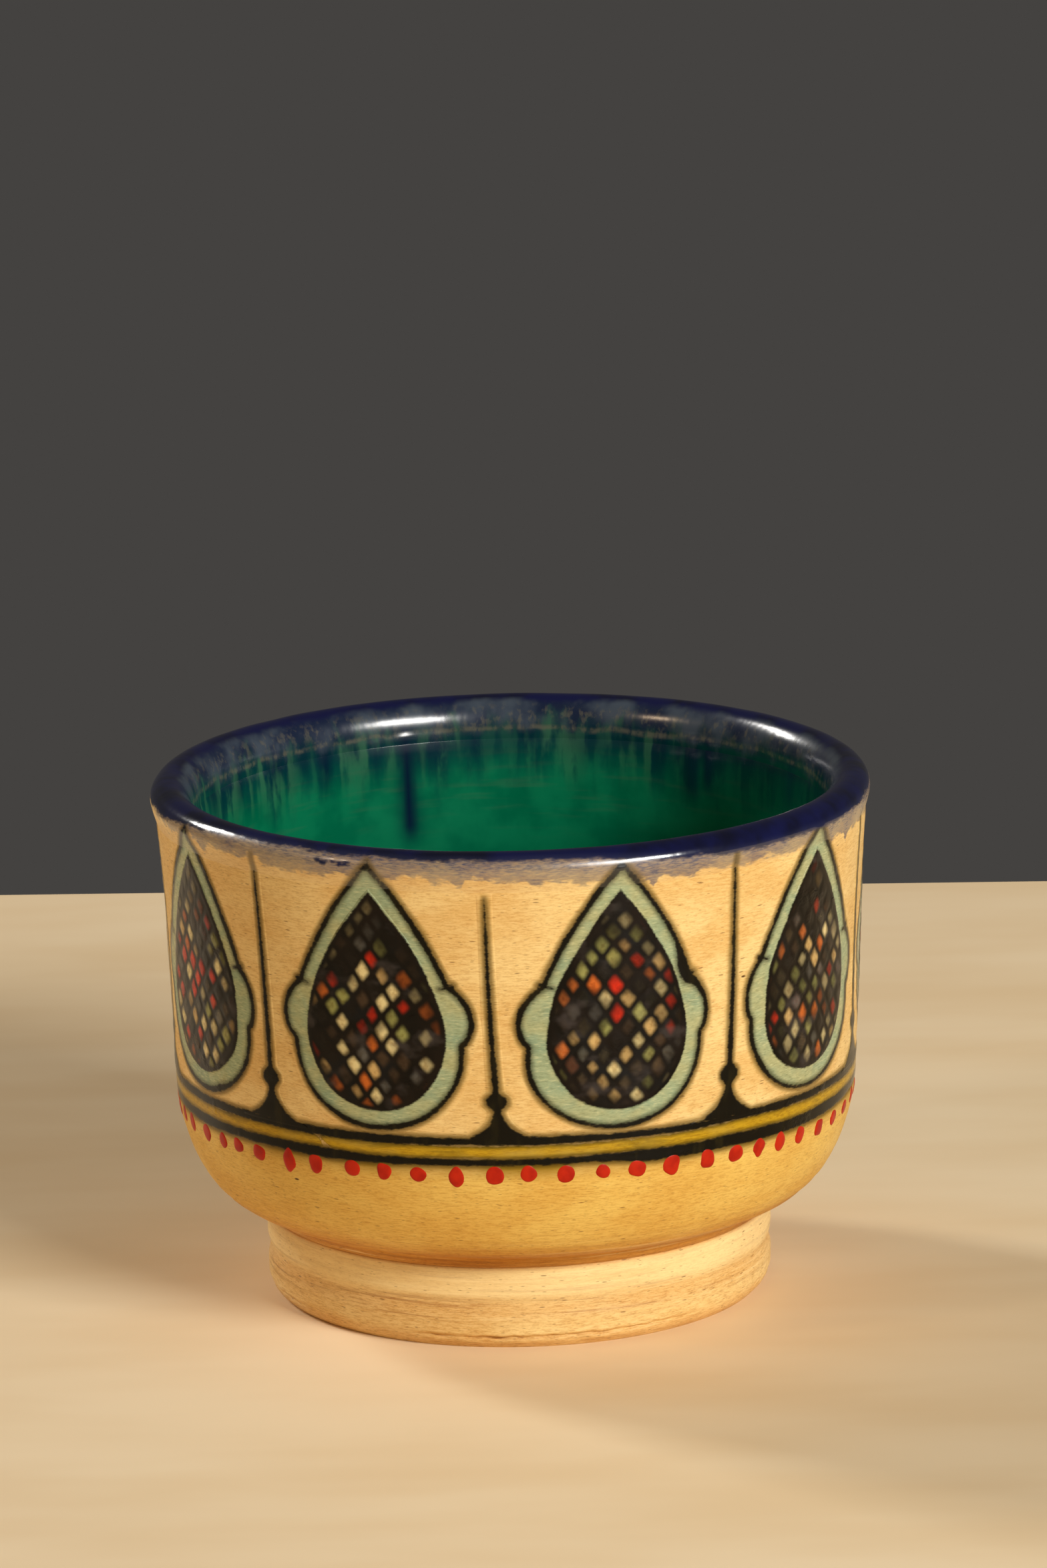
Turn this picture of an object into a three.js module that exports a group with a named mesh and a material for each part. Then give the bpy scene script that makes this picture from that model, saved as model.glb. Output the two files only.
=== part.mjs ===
import * as THREE from "three";

// A footed cup of buff clay: a bowl luted onto a foot ring, coated with glaze and painted with enamel.
// Millimetres, +Z up, with the origin at the middle of the face that the foot stands on.

// Overall sizes of the finished cup
const rim_radius = 45;
const cup_height = 66;
const foot_radius = 31.8;
const foot_height = 10.6;

// Clay sizes
const lip_thickness = 3.6;
const wall_thickness = 4.6;
const floor_thickness = 5;
const foot_wall = 6;
const foot_edge = 1.2;
const waist_overhang = 0.2;
const lute_gap = 0.3;

// Coats and painted layers
const coat_gap = 0.2;
const glaze_thickness = 0.3;
const enamel_thickness = 0.3;
const edge_gap = 0.3;
const rim_skirt_outside = 2.7;
const rim_skirt_inside = 4;
const line_width = 1;
const band_width = 1.3;
const band_base_share = 0.301;

// Drops and spires stand in turn around the wall, and their widths are shares of the pitch.
const ornament_count = 9;
const first_drop_angle = THREE.MathUtils.degToRad(-23.2);
const drop_half_width_share = 0.373;
const lobe_depth_share = 0.045;
const lobe_place_share = 0.425;
const lobe_half_height_share = 0.125;
const field_half_width_share = 0.297;
const field_foot_share = 0.08;
const field_tip_share = 0.88;
const spire_half_width_share = 0.16;

// Steps around the cup and along its outlines
const turn_steps = 48;
const wall_steps = 16;
const hollow_steps = 13;
const lip_steps = 6;
const drop_steps = 36;
const field_rows = 8;
const field_columns = 4;

// The bowl's wall, from the waist up, as shares of its height and of the reach from waist to rim.
const wall_shares = [
  [0, 0], [0.03, 0.235], [0.062, 0.435], [0.106, 0.6], [0.18, 0.75], [0.267, 0.842],
  [0.367, 0.87], [0.542, 0.892], [0.729, 0.925], [0.866, 0.962], [0.95, 0.99], [1, 1],
];

// The hollow's side from the lip down to the belly, as shares of the depth and of the lip's reach.
const hollow_side_shares = [[1, 1], [0.85, 0.61], [0.7, 0.385], [0.5, 0.19], [0.3, 0]];

// The hollow's bottom from the belly to the middle, as shares of the depth and of the belly's radius.
const hollow_floor_shares = [[0.19, 0.977], [0.117, 0.92], [0.054, 0.81], [0.019, 0.665], [0.004, 0.42], [0, 0]];

// The foot's outside, as shares of its height and of how far its edges draw in.
const foot_side_shares = [[0, 1.1], [0.085, 0.42], [0.245, 0.04], [0.47, 0], [0.71, 0.17], [0.905, 0.5], [1, 1]];

// A spire from its flared foot up past the bead, as shares of its height and of its foot's half width.
const spire_shares = [
  [0, 1], [0.02, 0.7], [0.05, 0.38], [0.085, 0.2], [0.115, 0.16], [0.132, 0.27], [0.15, 0.31],
  [0.168, 0.27], [0.186, 0.14], [0.45, 0.1], [0.75, 0.07], [1, 0.05],
];

// Sizes that follow from the ones above
const coat_stack = coat_gap + glaze_thickness;
const body_rim_radius = rim_radius - coat_stack;
const lip_radius = lip_thickness / 2;
const lip_height = cup_height - coat_stack - lip_radius;
const bowl_base = foot_height + lute_gap;
const wall_height = lip_height - bowl_base;
const waist_radius = foot_radius + waist_overhang;
const hollow_floor = bowl_base + floor_thickness;
const hollow_depth = lip_height - hollow_floor;
const hollow_lip_radius = body_rim_radius - lip_thickness;
const band_base = bowl_base + band_base_share * wall_height;
const yellow_base = band_base + line_width + edge_gap;
const upper_line_base = yellow_base + band_width + edge_gap;
const ornament_base = upper_line_base + line_width + edge_gap;
const rim_edge_outside = cup_height - rim_skirt_outside;
const rim_edge_inside = cup_height - rim_skirt_inside;
const ornament_height = rim_edge_outside - edge_gap - ornament_base;
const pitch = (2 * Math.PI) / ornament_count;

const clay = { color: 0xdfae66, roughness: 0.55, metalness: 0 };
const cobalt_glaze = { color: 0x1d1f4f, roughness: 0.12, metalness: 0 };
const green_glaze = { color: 0x0c5c41, roughness: 0.15, metalness: 0 };
const black_line = { color: 0x241b12, roughness: 0.4, metalness: 0 };
const yellow_enamel = { color: 0xc99f2a, roughness: 0.35, metalness: 0 };
const celadon_enamel = { color: 0xa7b486, roughness: 0.35, metalness: 0 };
const lattice_enamel = { color: 0x4a3424, roughness: 0.2, metalness: 0 };

// A smooth outline through a few hand-placed points.
function smooth(points, steps) {
  return new THREE.SplineCurve(points).getPoints(steps);
}

// The wall from the waist up to where the lip begins to turn over.
function wall_outline() {
  const reach = body_rim_radius - waist_radius;
  const points = wall_shares.map(
    ([up, out]) => new THREE.Vector2(waist_radius + out * reach, bowl_base + up * wall_height),
  );
  return smooth(points, wall_steps);
}

// The half circle of the lip, from outside to inside, without its two ends.
function lip_outline() {
  const points = [];
  for (let step = 1; step < lip_steps; step += 1) {
    const turn = (Math.PI * step) / lip_steps;
    const radius = body_rim_radius - lip_radius + lip_radius * Math.cos(turn);
    points.push(new THREE.Vector2(radius, lip_height + lip_radius * Math.sin(turn)));
  }
  return points;
}

// The hollow from the lip down its side and across the floor to the axis.
function hollow_outline() {
  const belly = waist_radius + wall_shares[6][1] * (body_rim_radius - waist_radius) - wall_thickness;
  const side = hollow_side_shares.map(
    ([up, out]) => new THREE.Vector2(belly + out * (hollow_lip_radius - belly), hollow_floor + up * hollow_depth),
  );
  const floor = hollow_floor_shares.map(
    ([up, out]) => new THREE.Vector2(out * belly, hollow_floor + up * hollow_depth),
  );
  return smooth([...side, ...floor], hollow_steps);
}

const wall = wall_outline();
const lip = lip_outline();
const hollow = hollow_outline();

// Where the straight run between two outline points crosses a height.
function at_height(low, high, height) {
  const share = (height - low.y) / (high.y - low.y);
  return new THREE.Vector2(low.x + share * (high.x - low.x), height);
}

// The stretch of a rising outline between two heights.
function stretch(outline, bottom, top) {
  const points = [];
  outline.forEach((point, index) => {
    const next = outline[index + 1];
    if (point.y > bottom && point.y < top) {
      points.push(point);
    }
    if (next && point.y <= bottom && next.y > bottom) {
      points.push(at_height(point, next, bottom));
    }
    if (next && point.y < top && next.y >= top) {
      points.push(at_height(point, next, top));
    }
  });
  return points;
}

// The wall's outside radius at a height.
function wall_radius(height) {
  const index = wall.findIndex((point) => point.y >= height);
  return index > 0 ? at_height(wall[index - 1], wall[index], height).x : wall[0].x;
}

// An outline moved sideways, to the right of its direction of travel.
function beside(outline, distance) {
  return outline.map((point, index) => {
    const before = outline[Math.max(index - 1, 0)];
    const after = outline[Math.min(index + 1, outline.length - 1)];
    const along = after.clone().sub(before).normalize();
    return new THREE.Vector2(point.x + along.y * distance, point.y - along.x * distance);
  });
}

// A named mesh with a finish of its own.
function mesh(name, geometry, finish) {
  const piece = new THREE.Mesh(geometry, new THREE.MeshStandardMaterial(finish));
  piece.name = name;
  return piece;
}

// A turned body: an outline in radius and height, carried round the Z axis.
function turned(outline) {
  return new THREE.LatheGeometry(outline, turn_steps).rotateX(Math.PI / 2);
}

// A coat of even thickness that keeps the coat gap to the outline it covers.
function coat(outline, thickness) {
  const back = beside(outline, coat_gap);
  const face = beside(outline, coat_gap + thickness).reverse();
  return [...back, ...face, back[0]].reverse();
}

function make_bowl() {
  const axis_low = new THREE.Vector2(0, bowl_base);
  return mesh("bowl", turned([axis_low, ...wall, ...lip, ...hollow]), clay);
}

function make_foot_ring() {
  const inner = foot_radius - foot_wall;
  const side = foot_side_shares.map(
    ([up, draw]) => new THREE.Vector2(foot_radius - draw * foot_edge, up * foot_height),
  );
  const inside_top = new THREE.Vector2(inner, foot_height);
  const inside_edge = new THREE.Vector2(inner, foot_edge);
  const inside_bottom = new THREE.Vector2(inner + foot_edge, 0);
  return mesh("foot_ring", turned([inside_bottom, ...side, inside_top, inside_edge, inside_bottom]), clay);
}

// The cobalt coat goes over the lip, a little way down the outside and further down the inside.
function make_rim_glaze() {
  const outside = stretch(wall, rim_edge_outside, lip_height);
  const inside = stretch([...hollow].reverse(), rim_edge_inside, lip_height).reverse();
  return mesh("rim_glaze", turned(coat([...outside, ...lip, ...inside], glaze_thickness)), cobalt_glaze);
}

// The green coat lines the hollow from the rim's coat down to the axis.
function make_liner_glaze() {
  const falling = stretch([...hollow].reverse(), hollow_floor, rim_edge_inside - edge_gap).reverse();
  const back = beside(falling, coat_gap).slice(0, -1).reverse();
  const face = beside(falling, coat_stack).slice(0, -1);
  const low = new THREE.Vector2(0, hollow_floor + coat_gap);
  const high = new THREE.Vector2(0, hollow_floor + coat_stack);
  return mesh("liner_glaze", turned([low, ...back, ...face, high]), green_glaze);
}

// A painted ring between two heights of the wall.
function make_band(name, bottom, width, finish) {
  const edges = [bottom, bottom + width];
  const outline = edges.map((height) => new THREE.Vector2(wall_radius(height), height));
  return mesh(name, turned(coat(outline, enamel_thickness)), finish);
}

// A point of a painted layer: an angle round the cup, a height, and 0 at its back or 1 at its face.
function on_wall(angle, height, layer) {
  const radius = wall_radius(height) + coat_gap + layer * enamel_thickness;
  return new THREE.Vector3(radius * Math.sin(angle), -radius * Math.cos(angle), height);
}

// The pear curve: its half width and its height, as shares, at a turn from 0 at the tip to PI at the foot.
function pear(turn) {
  const widest = 2 * Math.acos(1 / Math.sqrt(3));
  const peak = Math.sin(widest) * Math.sin(widest / 2);
  return { out: (Math.sin(turn) * Math.sin(turn / 2)) / peak, up: (1 + Math.cos(turn)) / 2 };
}

// The drop's edge, a pear curve with one round lobe on each flank.
function drop_edge(turn) {
  const shape = pear(turn);
  const place = (shape.up - lobe_place_share) / lobe_half_height_share;
  const lobe = lobe_depth_share * Math.sqrt(Math.max(1 - place * place, 0));
  return {
    angle: pitch * (drop_half_width_share * shape.out + Math.sign(shape.out) * lobe),
    height: ornament_base + shape.up * ornament_height,
  };
}

// The field's edge, a plain pear curve that stands inside the drop, grown by a margin.
function field_edge(turn, margin) {
  const shape = pear(turn);
  const bottom = ornament_base + field_foot_share * ornament_height;
  const height = (field_tip_share - field_foot_share) * ornament_height;
  const spread = margin / (rim_radius * pitch);
  return {
    angle: pitch * (field_half_width_share + spread) * shape.out,
    height: bottom - margin + shape.up * (height + 2 * margin),
  };
}

// The pale border of a drop: a ring of square section, bent onto the wall between its two edges.
function make_drop_border(name, angle) {
  const section = [[1, 0], [1, 1], [2, 1], [2, 0], [1, 0]].map(([out, layer]) => new THREE.Vector2(out, layer));
  const geometry = new THREE.LatheGeometry(section, drop_steps);
  const position = geometry.getAttribute("position");
  for (let index = 0; index < position.count; index += 1) {
    const out = Math.hypot(position.getX(index), position.getZ(index)) - 1;
    const around = Math.atan2(position.getX(index), position.getZ(index));
    const side = Math.sign(around);
    const turn = Math.abs(around);
    const inner = field_edge(turn, edge_gap);
    const outer = drop_edge(turn);
    const across = THREE.MathUtils.lerp(inner.angle, outer.angle, out);
    const height = THREE.MathUtils.lerp(inner.height, outer.height, out);
    const point = on_wall(angle + side * across, height, position.getY(index));
    position.setXYZ(index, point.x, point.y, point.z);
  }
  return mesh(name, geometry, celadon_enamel);
}

// A plate bent onto the wall: each point's share across and share up give its angle and height.
function bent_plate(columns, rows, place) {
  const geometry = new THREE.BoxGeometry(2, 1, 1, columns, rows, 1);
  const position = geometry.getAttribute("position");
  for (let index = 0; index < position.count; index += 1) {
    const spot = place(position.getX(index), position.getY(index) + 0.5);
    const point = on_wall(spot.angle, spot.height, position.getZ(index) + 0.5);
    position.setXYZ(index, point.x, point.y, point.z);
  }
  return geometry;
}

// The dark field of a drop, a pear-shaped plate whose two ends are cut just short of points.
function make_drop_field(name, angle) {
  const blunt = Math.PI / (3 * field_rows);
  const geometry = bent_plate(field_columns, field_rows, (across, up) => {
    const edge = field_edge(THREE.MathUtils.lerp(Math.PI - blunt, blunt, up), 0);
    return { angle: angle + across * edge.angle, height: edge.height };
  });
  return mesh(name, geometry, lattice_enamel);
}

// A slender spire: a flared foot, a bead and a long fine stem.
function make_spire(name, angle) {
  const rows = spire_shares.length - 1;
  const geometry = bent_plate(2, rows, (across, up) => {
    const [rise, out] = spire_shares[Math.round(up * rows)];
    const half_width = pitch * spire_half_width_share * out;
    return { angle: angle + across * half_width, height: ornament_base + rise * ornament_height };
  });
  return mesh(name, geometry, black_line);
}

const cup = new THREE.Group();
cup.add(make_bowl());
cup.add(make_foot_ring());
cup.add(make_rim_glaze());
cup.add(make_liner_glaze());
cup.add(make_band("lower_line", band_base, line_width, black_line));
cup.add(make_band("yellow_band", yellow_base, band_width, yellow_enamel));
cup.add(make_band("upper_line", upper_line_base, line_width, black_line));
for (let index = 0; index < ornament_count; index += 1) {
  const number = index + 1;
  const angle = first_drop_angle + index * pitch;
  cup.add(make_drop_border(`drop_${number}_border`, angle));
  cup.add(make_drop_field(`drop_${number}_field`, angle));
  cup.add(make_spire(`spire_${number}`, angle + pitch / 2));
}

export default cup;
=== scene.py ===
# %% [markdown]
# # A footed ceramic cup
# The real cup is a bowl thrown on the wheel and a foot ring luted under it, both of buff clay. Cobalt
# glaze covers the lip, green glaze the hollow, and the wall is painted with two dark lines, a yellow
# band, nine drops, nine spires and a row of red dots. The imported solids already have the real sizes, so
# this script reads each size from them and makes every layer again as a smooth, finely divided surface.

import bpy
import numpy as np
from mathutils import Matrix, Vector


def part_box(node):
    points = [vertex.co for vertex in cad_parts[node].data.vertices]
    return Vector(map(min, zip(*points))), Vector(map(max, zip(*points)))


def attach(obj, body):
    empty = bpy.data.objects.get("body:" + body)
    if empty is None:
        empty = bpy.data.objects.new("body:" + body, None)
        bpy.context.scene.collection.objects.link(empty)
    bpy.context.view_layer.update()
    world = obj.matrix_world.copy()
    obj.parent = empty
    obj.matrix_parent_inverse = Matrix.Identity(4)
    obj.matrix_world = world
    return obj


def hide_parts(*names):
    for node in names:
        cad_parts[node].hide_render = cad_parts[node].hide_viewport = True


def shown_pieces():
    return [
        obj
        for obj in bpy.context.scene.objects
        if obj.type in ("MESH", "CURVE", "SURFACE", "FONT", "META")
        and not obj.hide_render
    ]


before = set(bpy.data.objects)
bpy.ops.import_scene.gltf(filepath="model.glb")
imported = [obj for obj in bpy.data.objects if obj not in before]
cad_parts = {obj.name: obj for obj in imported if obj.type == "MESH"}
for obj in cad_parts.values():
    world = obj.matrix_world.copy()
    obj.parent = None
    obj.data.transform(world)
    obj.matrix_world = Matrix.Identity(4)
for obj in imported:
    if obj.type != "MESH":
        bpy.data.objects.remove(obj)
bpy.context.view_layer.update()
print("packed nodes:", len(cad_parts))

# %% [markdown]
# Ceramics are measured in millimetres, and Blender works in metres. All shapes below are worked out in
# millimetres and turned into metres once, where a mesh is made.

# %% Read the driving sizes from the frame
MM = 0.001


def node_span(node):
    """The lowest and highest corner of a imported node, in millimetres."""
    low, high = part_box(node)
    return np.array(low) / MM, np.array(high) / MM


rim_radius = node_span("rim_glaze")[1][0]
cup_height = node_span("rim_glaze")[1][2]
body_radius = node_span("bowl")[1][0]
body_top = node_span("bowl")[1][2]
waist_height = node_span("bowl")[0][2]
foot_radius = node_span("foot_ring")[1][0]
foot_height = node_span("foot_ring")[1][2]
coat_stack = rim_radius - body_radius
print(f"cup {2 * rim_radius:.1f} wide, {cup_height:.1f} high, foot {2 * foot_radius:.1f} wide")

# %% [markdown]
# Nothing thrown or painted by hand is exact. A few small helpers are used everywhere: a smooth curve
# through chosen points, a closed wandering line for shaky edges, an even spacing of points, and steps and
# bell curves that let one shape pass softly into the next.

# %% Helpers for curves
def smooth_through(x, places, values):
    """A curve through the points (places, values) that never overshoots them: between two points it is
    a cubic, and its slope at a point is the harmonic mean of the slopes on both sides."""
    places, values = np.asarray(places, float), np.asarray(values, float)
    step = np.diff(places)
    rise = np.diff(values) / step
    slope = np.r_[rise[0], np.zeros(len(rise) - 1), rise[-1]]
    product, total = rise[:-1] * rise[1:], rise[:-1] + rise[1:]
    slope[1:-1] = np.where(product > 0, 2 * product / np.where(total == 0, 1, total), 0)
    x = np.clip(x, places[0], places[-1])
    i = np.clip(np.searchsorted(places, x, side="right") - 1, 0, len(step) - 1)
    t = (x - places[i]) / step[i]
    bend = t * (1 - t) * ((1 - t) * (slope[i] - rise[i]) - t * (slope[i + 1] - rise[i]))
    return values[i] + (values[i + 1] - values[i]) * t + bend * step[i]


def wander(turn, seed, reach, slowest=1, fastest=6):
    """A closed wandering line over the angle turn: whole-number sine waves from slowest to fastest, with
    random phases, the quick ones weaker, scaled so that it strays by about reach."""
    random = np.random.default_rng(seed)
    waves = np.arange(slowest, fastest + 1)
    phases = random.uniform(0, 2 * np.pi, len(waves))
    weights = random.uniform(0.5, 1, len(waves)) / np.sqrt(waves)
    angles = waves * np.asarray(turn)[..., None] + phases
    return reach * (np.sin(angles) * weights).sum(-1) / np.sqrt((weights**2).sum())


def evenly_spaced(points, count):
    """count points at equal distances along the line through points."""
    points = np.asarray(points, float)
    along = np.r_[0, np.cumsum(np.linalg.norm(np.diff(points, axis=0), axis=1))]
    places = np.linspace(0, along[-1], count)
    return np.stack([np.interp(places, along, axis) for axis in points.T], -1)


def ease(x, start, end):
    """0 before start, 1 after end, and a smooth step between them."""
    t = np.clip((x - start) / (end - start), 0, 1)
    return t * t * (3 - 2 * t)


def bell(x, width, power=2):
    """A bell curve: 1 where x is 0, and e to the minus (x over width) to the power elsewhere."""
    return np.exp(-((x / width) ** power))


def full_turn(count):
    """count equal steps round the cup, as angles."""
    return np.linspace(0, 2 * np.pi, count, endpoint=False)


def turn_from(turn, degrees):
    """The angle from a place given in degrees to turn, between minus and plus half a turn."""
    return (turn - np.radians(degrees) + np.pi) % (2 * np.pi) - np.pi


def shares(lengths):
    """The ends of lengths laid one after the other, from 0 to 1."""
    return np.r_[0, np.cumsum(lengths)] / np.sum(lengths)


print("a quarter of the way up a smooth step:", ease(0.25, 0, 1))


# %% [markdown]
# Every piece is one grid of points, bent into shape. The grid may close on itself around the cup, close
# on itself across its section, or run into a pole at each end. One function turns such a grid into a
# closed mesh. It also lays out the map OFBake, in strips side by side, so that a baked picture of a long
# ring still has enough pixels along it.

# %% Turn a grid of points into a mesh
def strip_map(columns, strips, row_share, pad=0.004):
    """Places of each quad's four corners on the map. The columns are cut into strips of the map, stacked
    with a little space between them, and row_share says how far up its strip each row stands."""
    column = np.arange(columns)
    strip = column * strips // columns
    first = -(-strip * columns // strips)
    wide = -(-(strip + 1) * columns // strips) - first
    left = pad + (1 - 2 * pad) * (column - first) / wide
    right = pad + (1 - 2 * pad) * (column - first + 1) / wide
    up = strip / strips + pad + (1 / strips - 2 * pad) * np.asarray(row_share)[:, None]
    low, high = up[:-1], up[1:]
    left, right = np.broadcast_to(left, low.shape), np.broadcast_to(right, low.shape)
    corners = [(left, low), (right, low), (right, high), (left, high)]
    return np.stack([np.stack(corner, -1) for corner in corners], 2)


def closed_mesh(name, points, quads, places, values):
    """A smooth mesh in metres from quads of points. A quad with two equal corners, as at a pole, is made
    a triangle, and points that no face uses are left out. places are the corners' places on the map
    OFBake, and each of values becomes a float attribute of the points."""
    used, quads = np.unique(quads, return_inverse=True)
    quads = quads.reshape(-1, 4)
    double = quads == np.roll(quads, -1, axis=1)
    kept = ~double
    counts = kept.sum(1)
    mesh = bpy.data.meshes.new(name)
    mesh.vertices.add(len(used))
    mesh.vertices.foreach_set("co", (points[used] * MM).astype(np.float32).ravel())
    mesh.loops.add(int(counts.sum()))
    mesh.loops.foreach_set("vertex_index", quads[kept].astype(np.int32))
    mesh.polygons.add(len(quads))
    mesh.polygons.foreach_set("loop_start", (np.cumsum(counts) - counts).astype(np.int32))
    mesh.update(calc_edges=True)
    mesh.shade_smooth()
    layer = mesh.uv_layers.new(name="OFBake")
    layer.uv.foreach_set("vector", places[kept].astype(np.float32).ravel())
    for key, field in values.items():
        attribute = mesh.attributes.new(key, "FLOAT", "POINT")
        attribute.data.foreach_set("value", field.reshape(-1)[used].astype(np.float32))
    piece = bpy.data.objects.new(name, mesh)
    bpy.context.scene.collection.objects.link(piece)
    print(f"{name}: {int((counts - 2).sum())} triangles")
    return piece


def corners(table, bands, axis=0):
    """The four corners of each quad in a table, whose rows lie along axis and whose columns, along the
    next axis, run round and close. bands is how many rows of quads are kept."""
    turned = np.roll(table, -1, axis + 1)
    around = [table, turned, np.roll(turned, -1, axis), np.roll(table, -1, axis)]
    return np.stack(around, axis + 2).take(range(bands), axis).reshape(-1, 4, *table.shape[axis + 2:])


def skin(name, grid, values, strips, row_share, poles=False):
    """A closed mesh from grid[row, column], whose columns run round and close. The rows close too, as
    round a ring's section, unless the first and the last row are poles, each one point of the mesh."""
    rows, columns = grid.shape[:2]
    index = np.arange(rows * columns).reshape(rows, columns)
    if poles:
        index[0], index[-1] = index[0, 0], index[-1, 0]
    quads = corners(index, rows - 1 if poles else rows)
    places = strip_map(columns, strips, row_share)
    return closed_mesh(name, grid.reshape(-1, 3), quads, places.reshape(-1, 4, 2), values)


print("corners of the one quad between two rows of a ring:", corners(np.arange(2).reshape(2, 1), 1).tolist())

# %% [markdown]
# The body's outline is the one the solids follow: a shallow turn in at the waist, a round shoulder, and a
# wall that leans out slightly to the lip. A thrown wall is never a perfect circle either, so a little
# swelling and the fine ridges that fingers leave are added, and every painted layer follows the same
# wall, so that nothing floats or sinks.

# %% The wall of the bowl
waist_radius = 32.0
lip_radius = 1.8
lip_height = body_top - lip_radius
wall_reach_shares = [(0, 0), (0.03, 0.235), (0.062, 0.435), (0.106, 0.6), (0.18, 0.75), (0.267, 0.842),
                     (0.367, 0.87), (0.542, 0.892), (0.729, 0.925), (0.866, 0.962), (0.95, 0.99), (1, 1)]
mean_wall_radius = 43.0


def wall_radius(z):
    """The outline of the wall: its radius at each height from the waist to the middle of the lip, and
    above that the lip's quarter circle."""
    share = (np.asarray(z) - waist_height) / (lip_height - waist_height)
    reach = smooth_through(share, *zip(*wall_reach_shares))
    above = np.clip(z - lip_height, 0, 0.98 * lip_radius)
    drawn_in = lip_radius - np.sqrt(lip_radius**2 - above**2)
    return waist_radius + (body_radius - waist_radius) * reach - drawn_in


swelling = 0.09
ridge_height, ridge_pitch = 0.055, 1.25
ridge_start, ridge_fade = (12.8, 13.6), (15.5, 19.0)
swelling_start, swelling_fade = (14, 50), (58, 65)
ring_start, ring_fade = (19, 25), (60, 64)
neck_heights = [10.6, 10.9, 11.4, 12.0, 12.4, 12.75, 13.2]
neck_depths = [-0.12, -0.05, -0.7, -1.25, -1.2, -0.55, 0]
turned_edge_height, turned_edge_width = 12.72, 0.2
turned_edge_relief, scrape_relief, scrape_rise = 0.16, 0.14, 0.5
wall_ring_height, wall_ring_pitch = 0.012, 2.3


def throwing(turn, z):
    """How far hands and wheel pushed the wall off its outline: a slow swelling round the cup, faint
    rings up the wall, and sharper ridges near the waist that climb as a spiral. At the very bottom the
    clay was drawn in to a neck, under a raised edge and a scrape that the turning tool left."""
    slow = wander(turn, 11, swelling, 1, 3) * ease(z, *swelling_start) * (1 - ease(z, *swelling_fade))
    climb = z / ridge_pitch + turn / (2 * np.pi) + wander(turn, 12, 0.18, 1, 5)
    ridges = ridge_height * np.sin(2 * np.pi * climb) * (1 - ease(z, *ridge_fade))
    rings = wall_ring_height * np.sin(2 * np.pi * z / wall_ring_pitch + wander(turn, 13, 1.5, 1, 4))
    edge_line = turned_edge_height + wander(turn, 14, 0.09, 1, 9)
    edge = (turned_edge_relief * bell(z - edge_line, turned_edge_width)
            - scrape_relief * bell(z - edge_line - scrape_rise, turned_edge_width))
    neck = np.where(z < neck_heights[-1], smooth_through(z, neck_heights, neck_depths), 0)
    worn = 0.65 + wander(turn, 15, 0.35, 2, 9)
    return (slow + ridges * ease(z, *ridge_start) + edge * worn + neck
            + rings * ease(z, *ring_start) * (1 - ease(z, *ring_fade)))


def round_cup(turn, radius, z):
    """Points at the angle turn, measured from the front (-Y) towards +X, at a radius and a height."""
    turn, radius, z = np.broadcast_arrays(turn, radius, z)
    return np.stack([radius * np.sin(turn), -radius * np.cos(turn), z], -1)


def on_wall(turn, z, lift=0):
    """Points on the thrown wall, lift millimetres outside it."""
    return round_cup(turn, wall_radius(z) + throwing(turn, z) + lift, z)


print("wall radius at half height:", wall_radius(cup_height / 2).round(2))

# %% [markdown]
# The hollow is a deep round bowl: a nearly straight side that narrows downwards, a tight curve, and an
# almost flat floor. The clay's own outline goes from the middle of the underside out to the waist, up the
# wall, over the half-round lip and down to the middle of the floor.

# %% The outline of the clay
lip_thickness = 2 * lip_radius
floor_height = 15.9
belly_radius = 38.275
inner_lip_radius = body_radius - lip_thickness
hollow_side_shares = [(0, 0), (0.3, 0), (0.5, 0.19), (0.7, 0.385), (0.85, 0.61), (1, 1)]
hollow_floor_shares = [(1, 0.3), (0.977, 0.19), (0.92, 0.117), (0.81, 0.054), (0.665, 0.019),
                       (0.42, 0.004), (0, 0)]


def hollow_side(z):
    """The radius of the hollow's side at a height, from the round bottom to the lip."""
    share = (z - floor_height) / (lip_height - floor_height)
    reach = smooth_through(share, *zip(*hollow_side_shares))
    return belly_radius + (inner_lip_radius - belly_radius) * reach


def hollow_outline():
    """Points (radius, height) from the inner lip down the side and over the floor to its middle."""
    depth = lip_height - floor_height
    side_z = np.linspace(lip_height, floor_height + 0.3 * depth, 120)
    side = np.stack([hollow_side(side_z), side_z], -1)
    reach, rise = np.array(hollow_floor_shares[::-1]).T
    across = np.sin(np.linspace(1, 0, 140) * np.pi / 2)
    floor = np.stack([belly_radius * across, floor_height + depth * smooth_through(across, reach, rise)], -1)
    return np.concatenate([side, floor[1:]])


def lip_arc(grow, start, end, count):
    """Points on the lip's half circle, grown outwards by grow, between two angles from level outside."""
    angle = np.radians(np.linspace(start, end, count))
    middle = body_radius - lip_radius
    return np.stack([middle + (lip_radius + grow) * np.cos(angle),
                     lip_height + (lip_radius + grow) * np.sin(angle)], -1)


wall_z = np.linspace(waist_height, lip_height, 900)
wall_points = np.stack([wall_radius(wall_z), wall_z], -1)
neck_rows = wall_z <= 14.2
wall_line = np.concatenate([evenly_spaced(wall_points[neck_rows], 22),
                            evenly_spaced(wall_points[~neck_rows], 106)])
underside = [(0, foot_height - 0.05), (24, foot_height - 0.05), (30.8, foot_height - 0.05),
             (waist_radius - 0.1, foot_height + 0.01)]
clay_line = np.concatenate([underside, wall_line, lip_arc(0, 0, 180, 9)[1:-1],
                            evenly_spaced(hollow_outline(), 30)])
print("points in the clay's outline:", len(clay_line))

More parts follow.
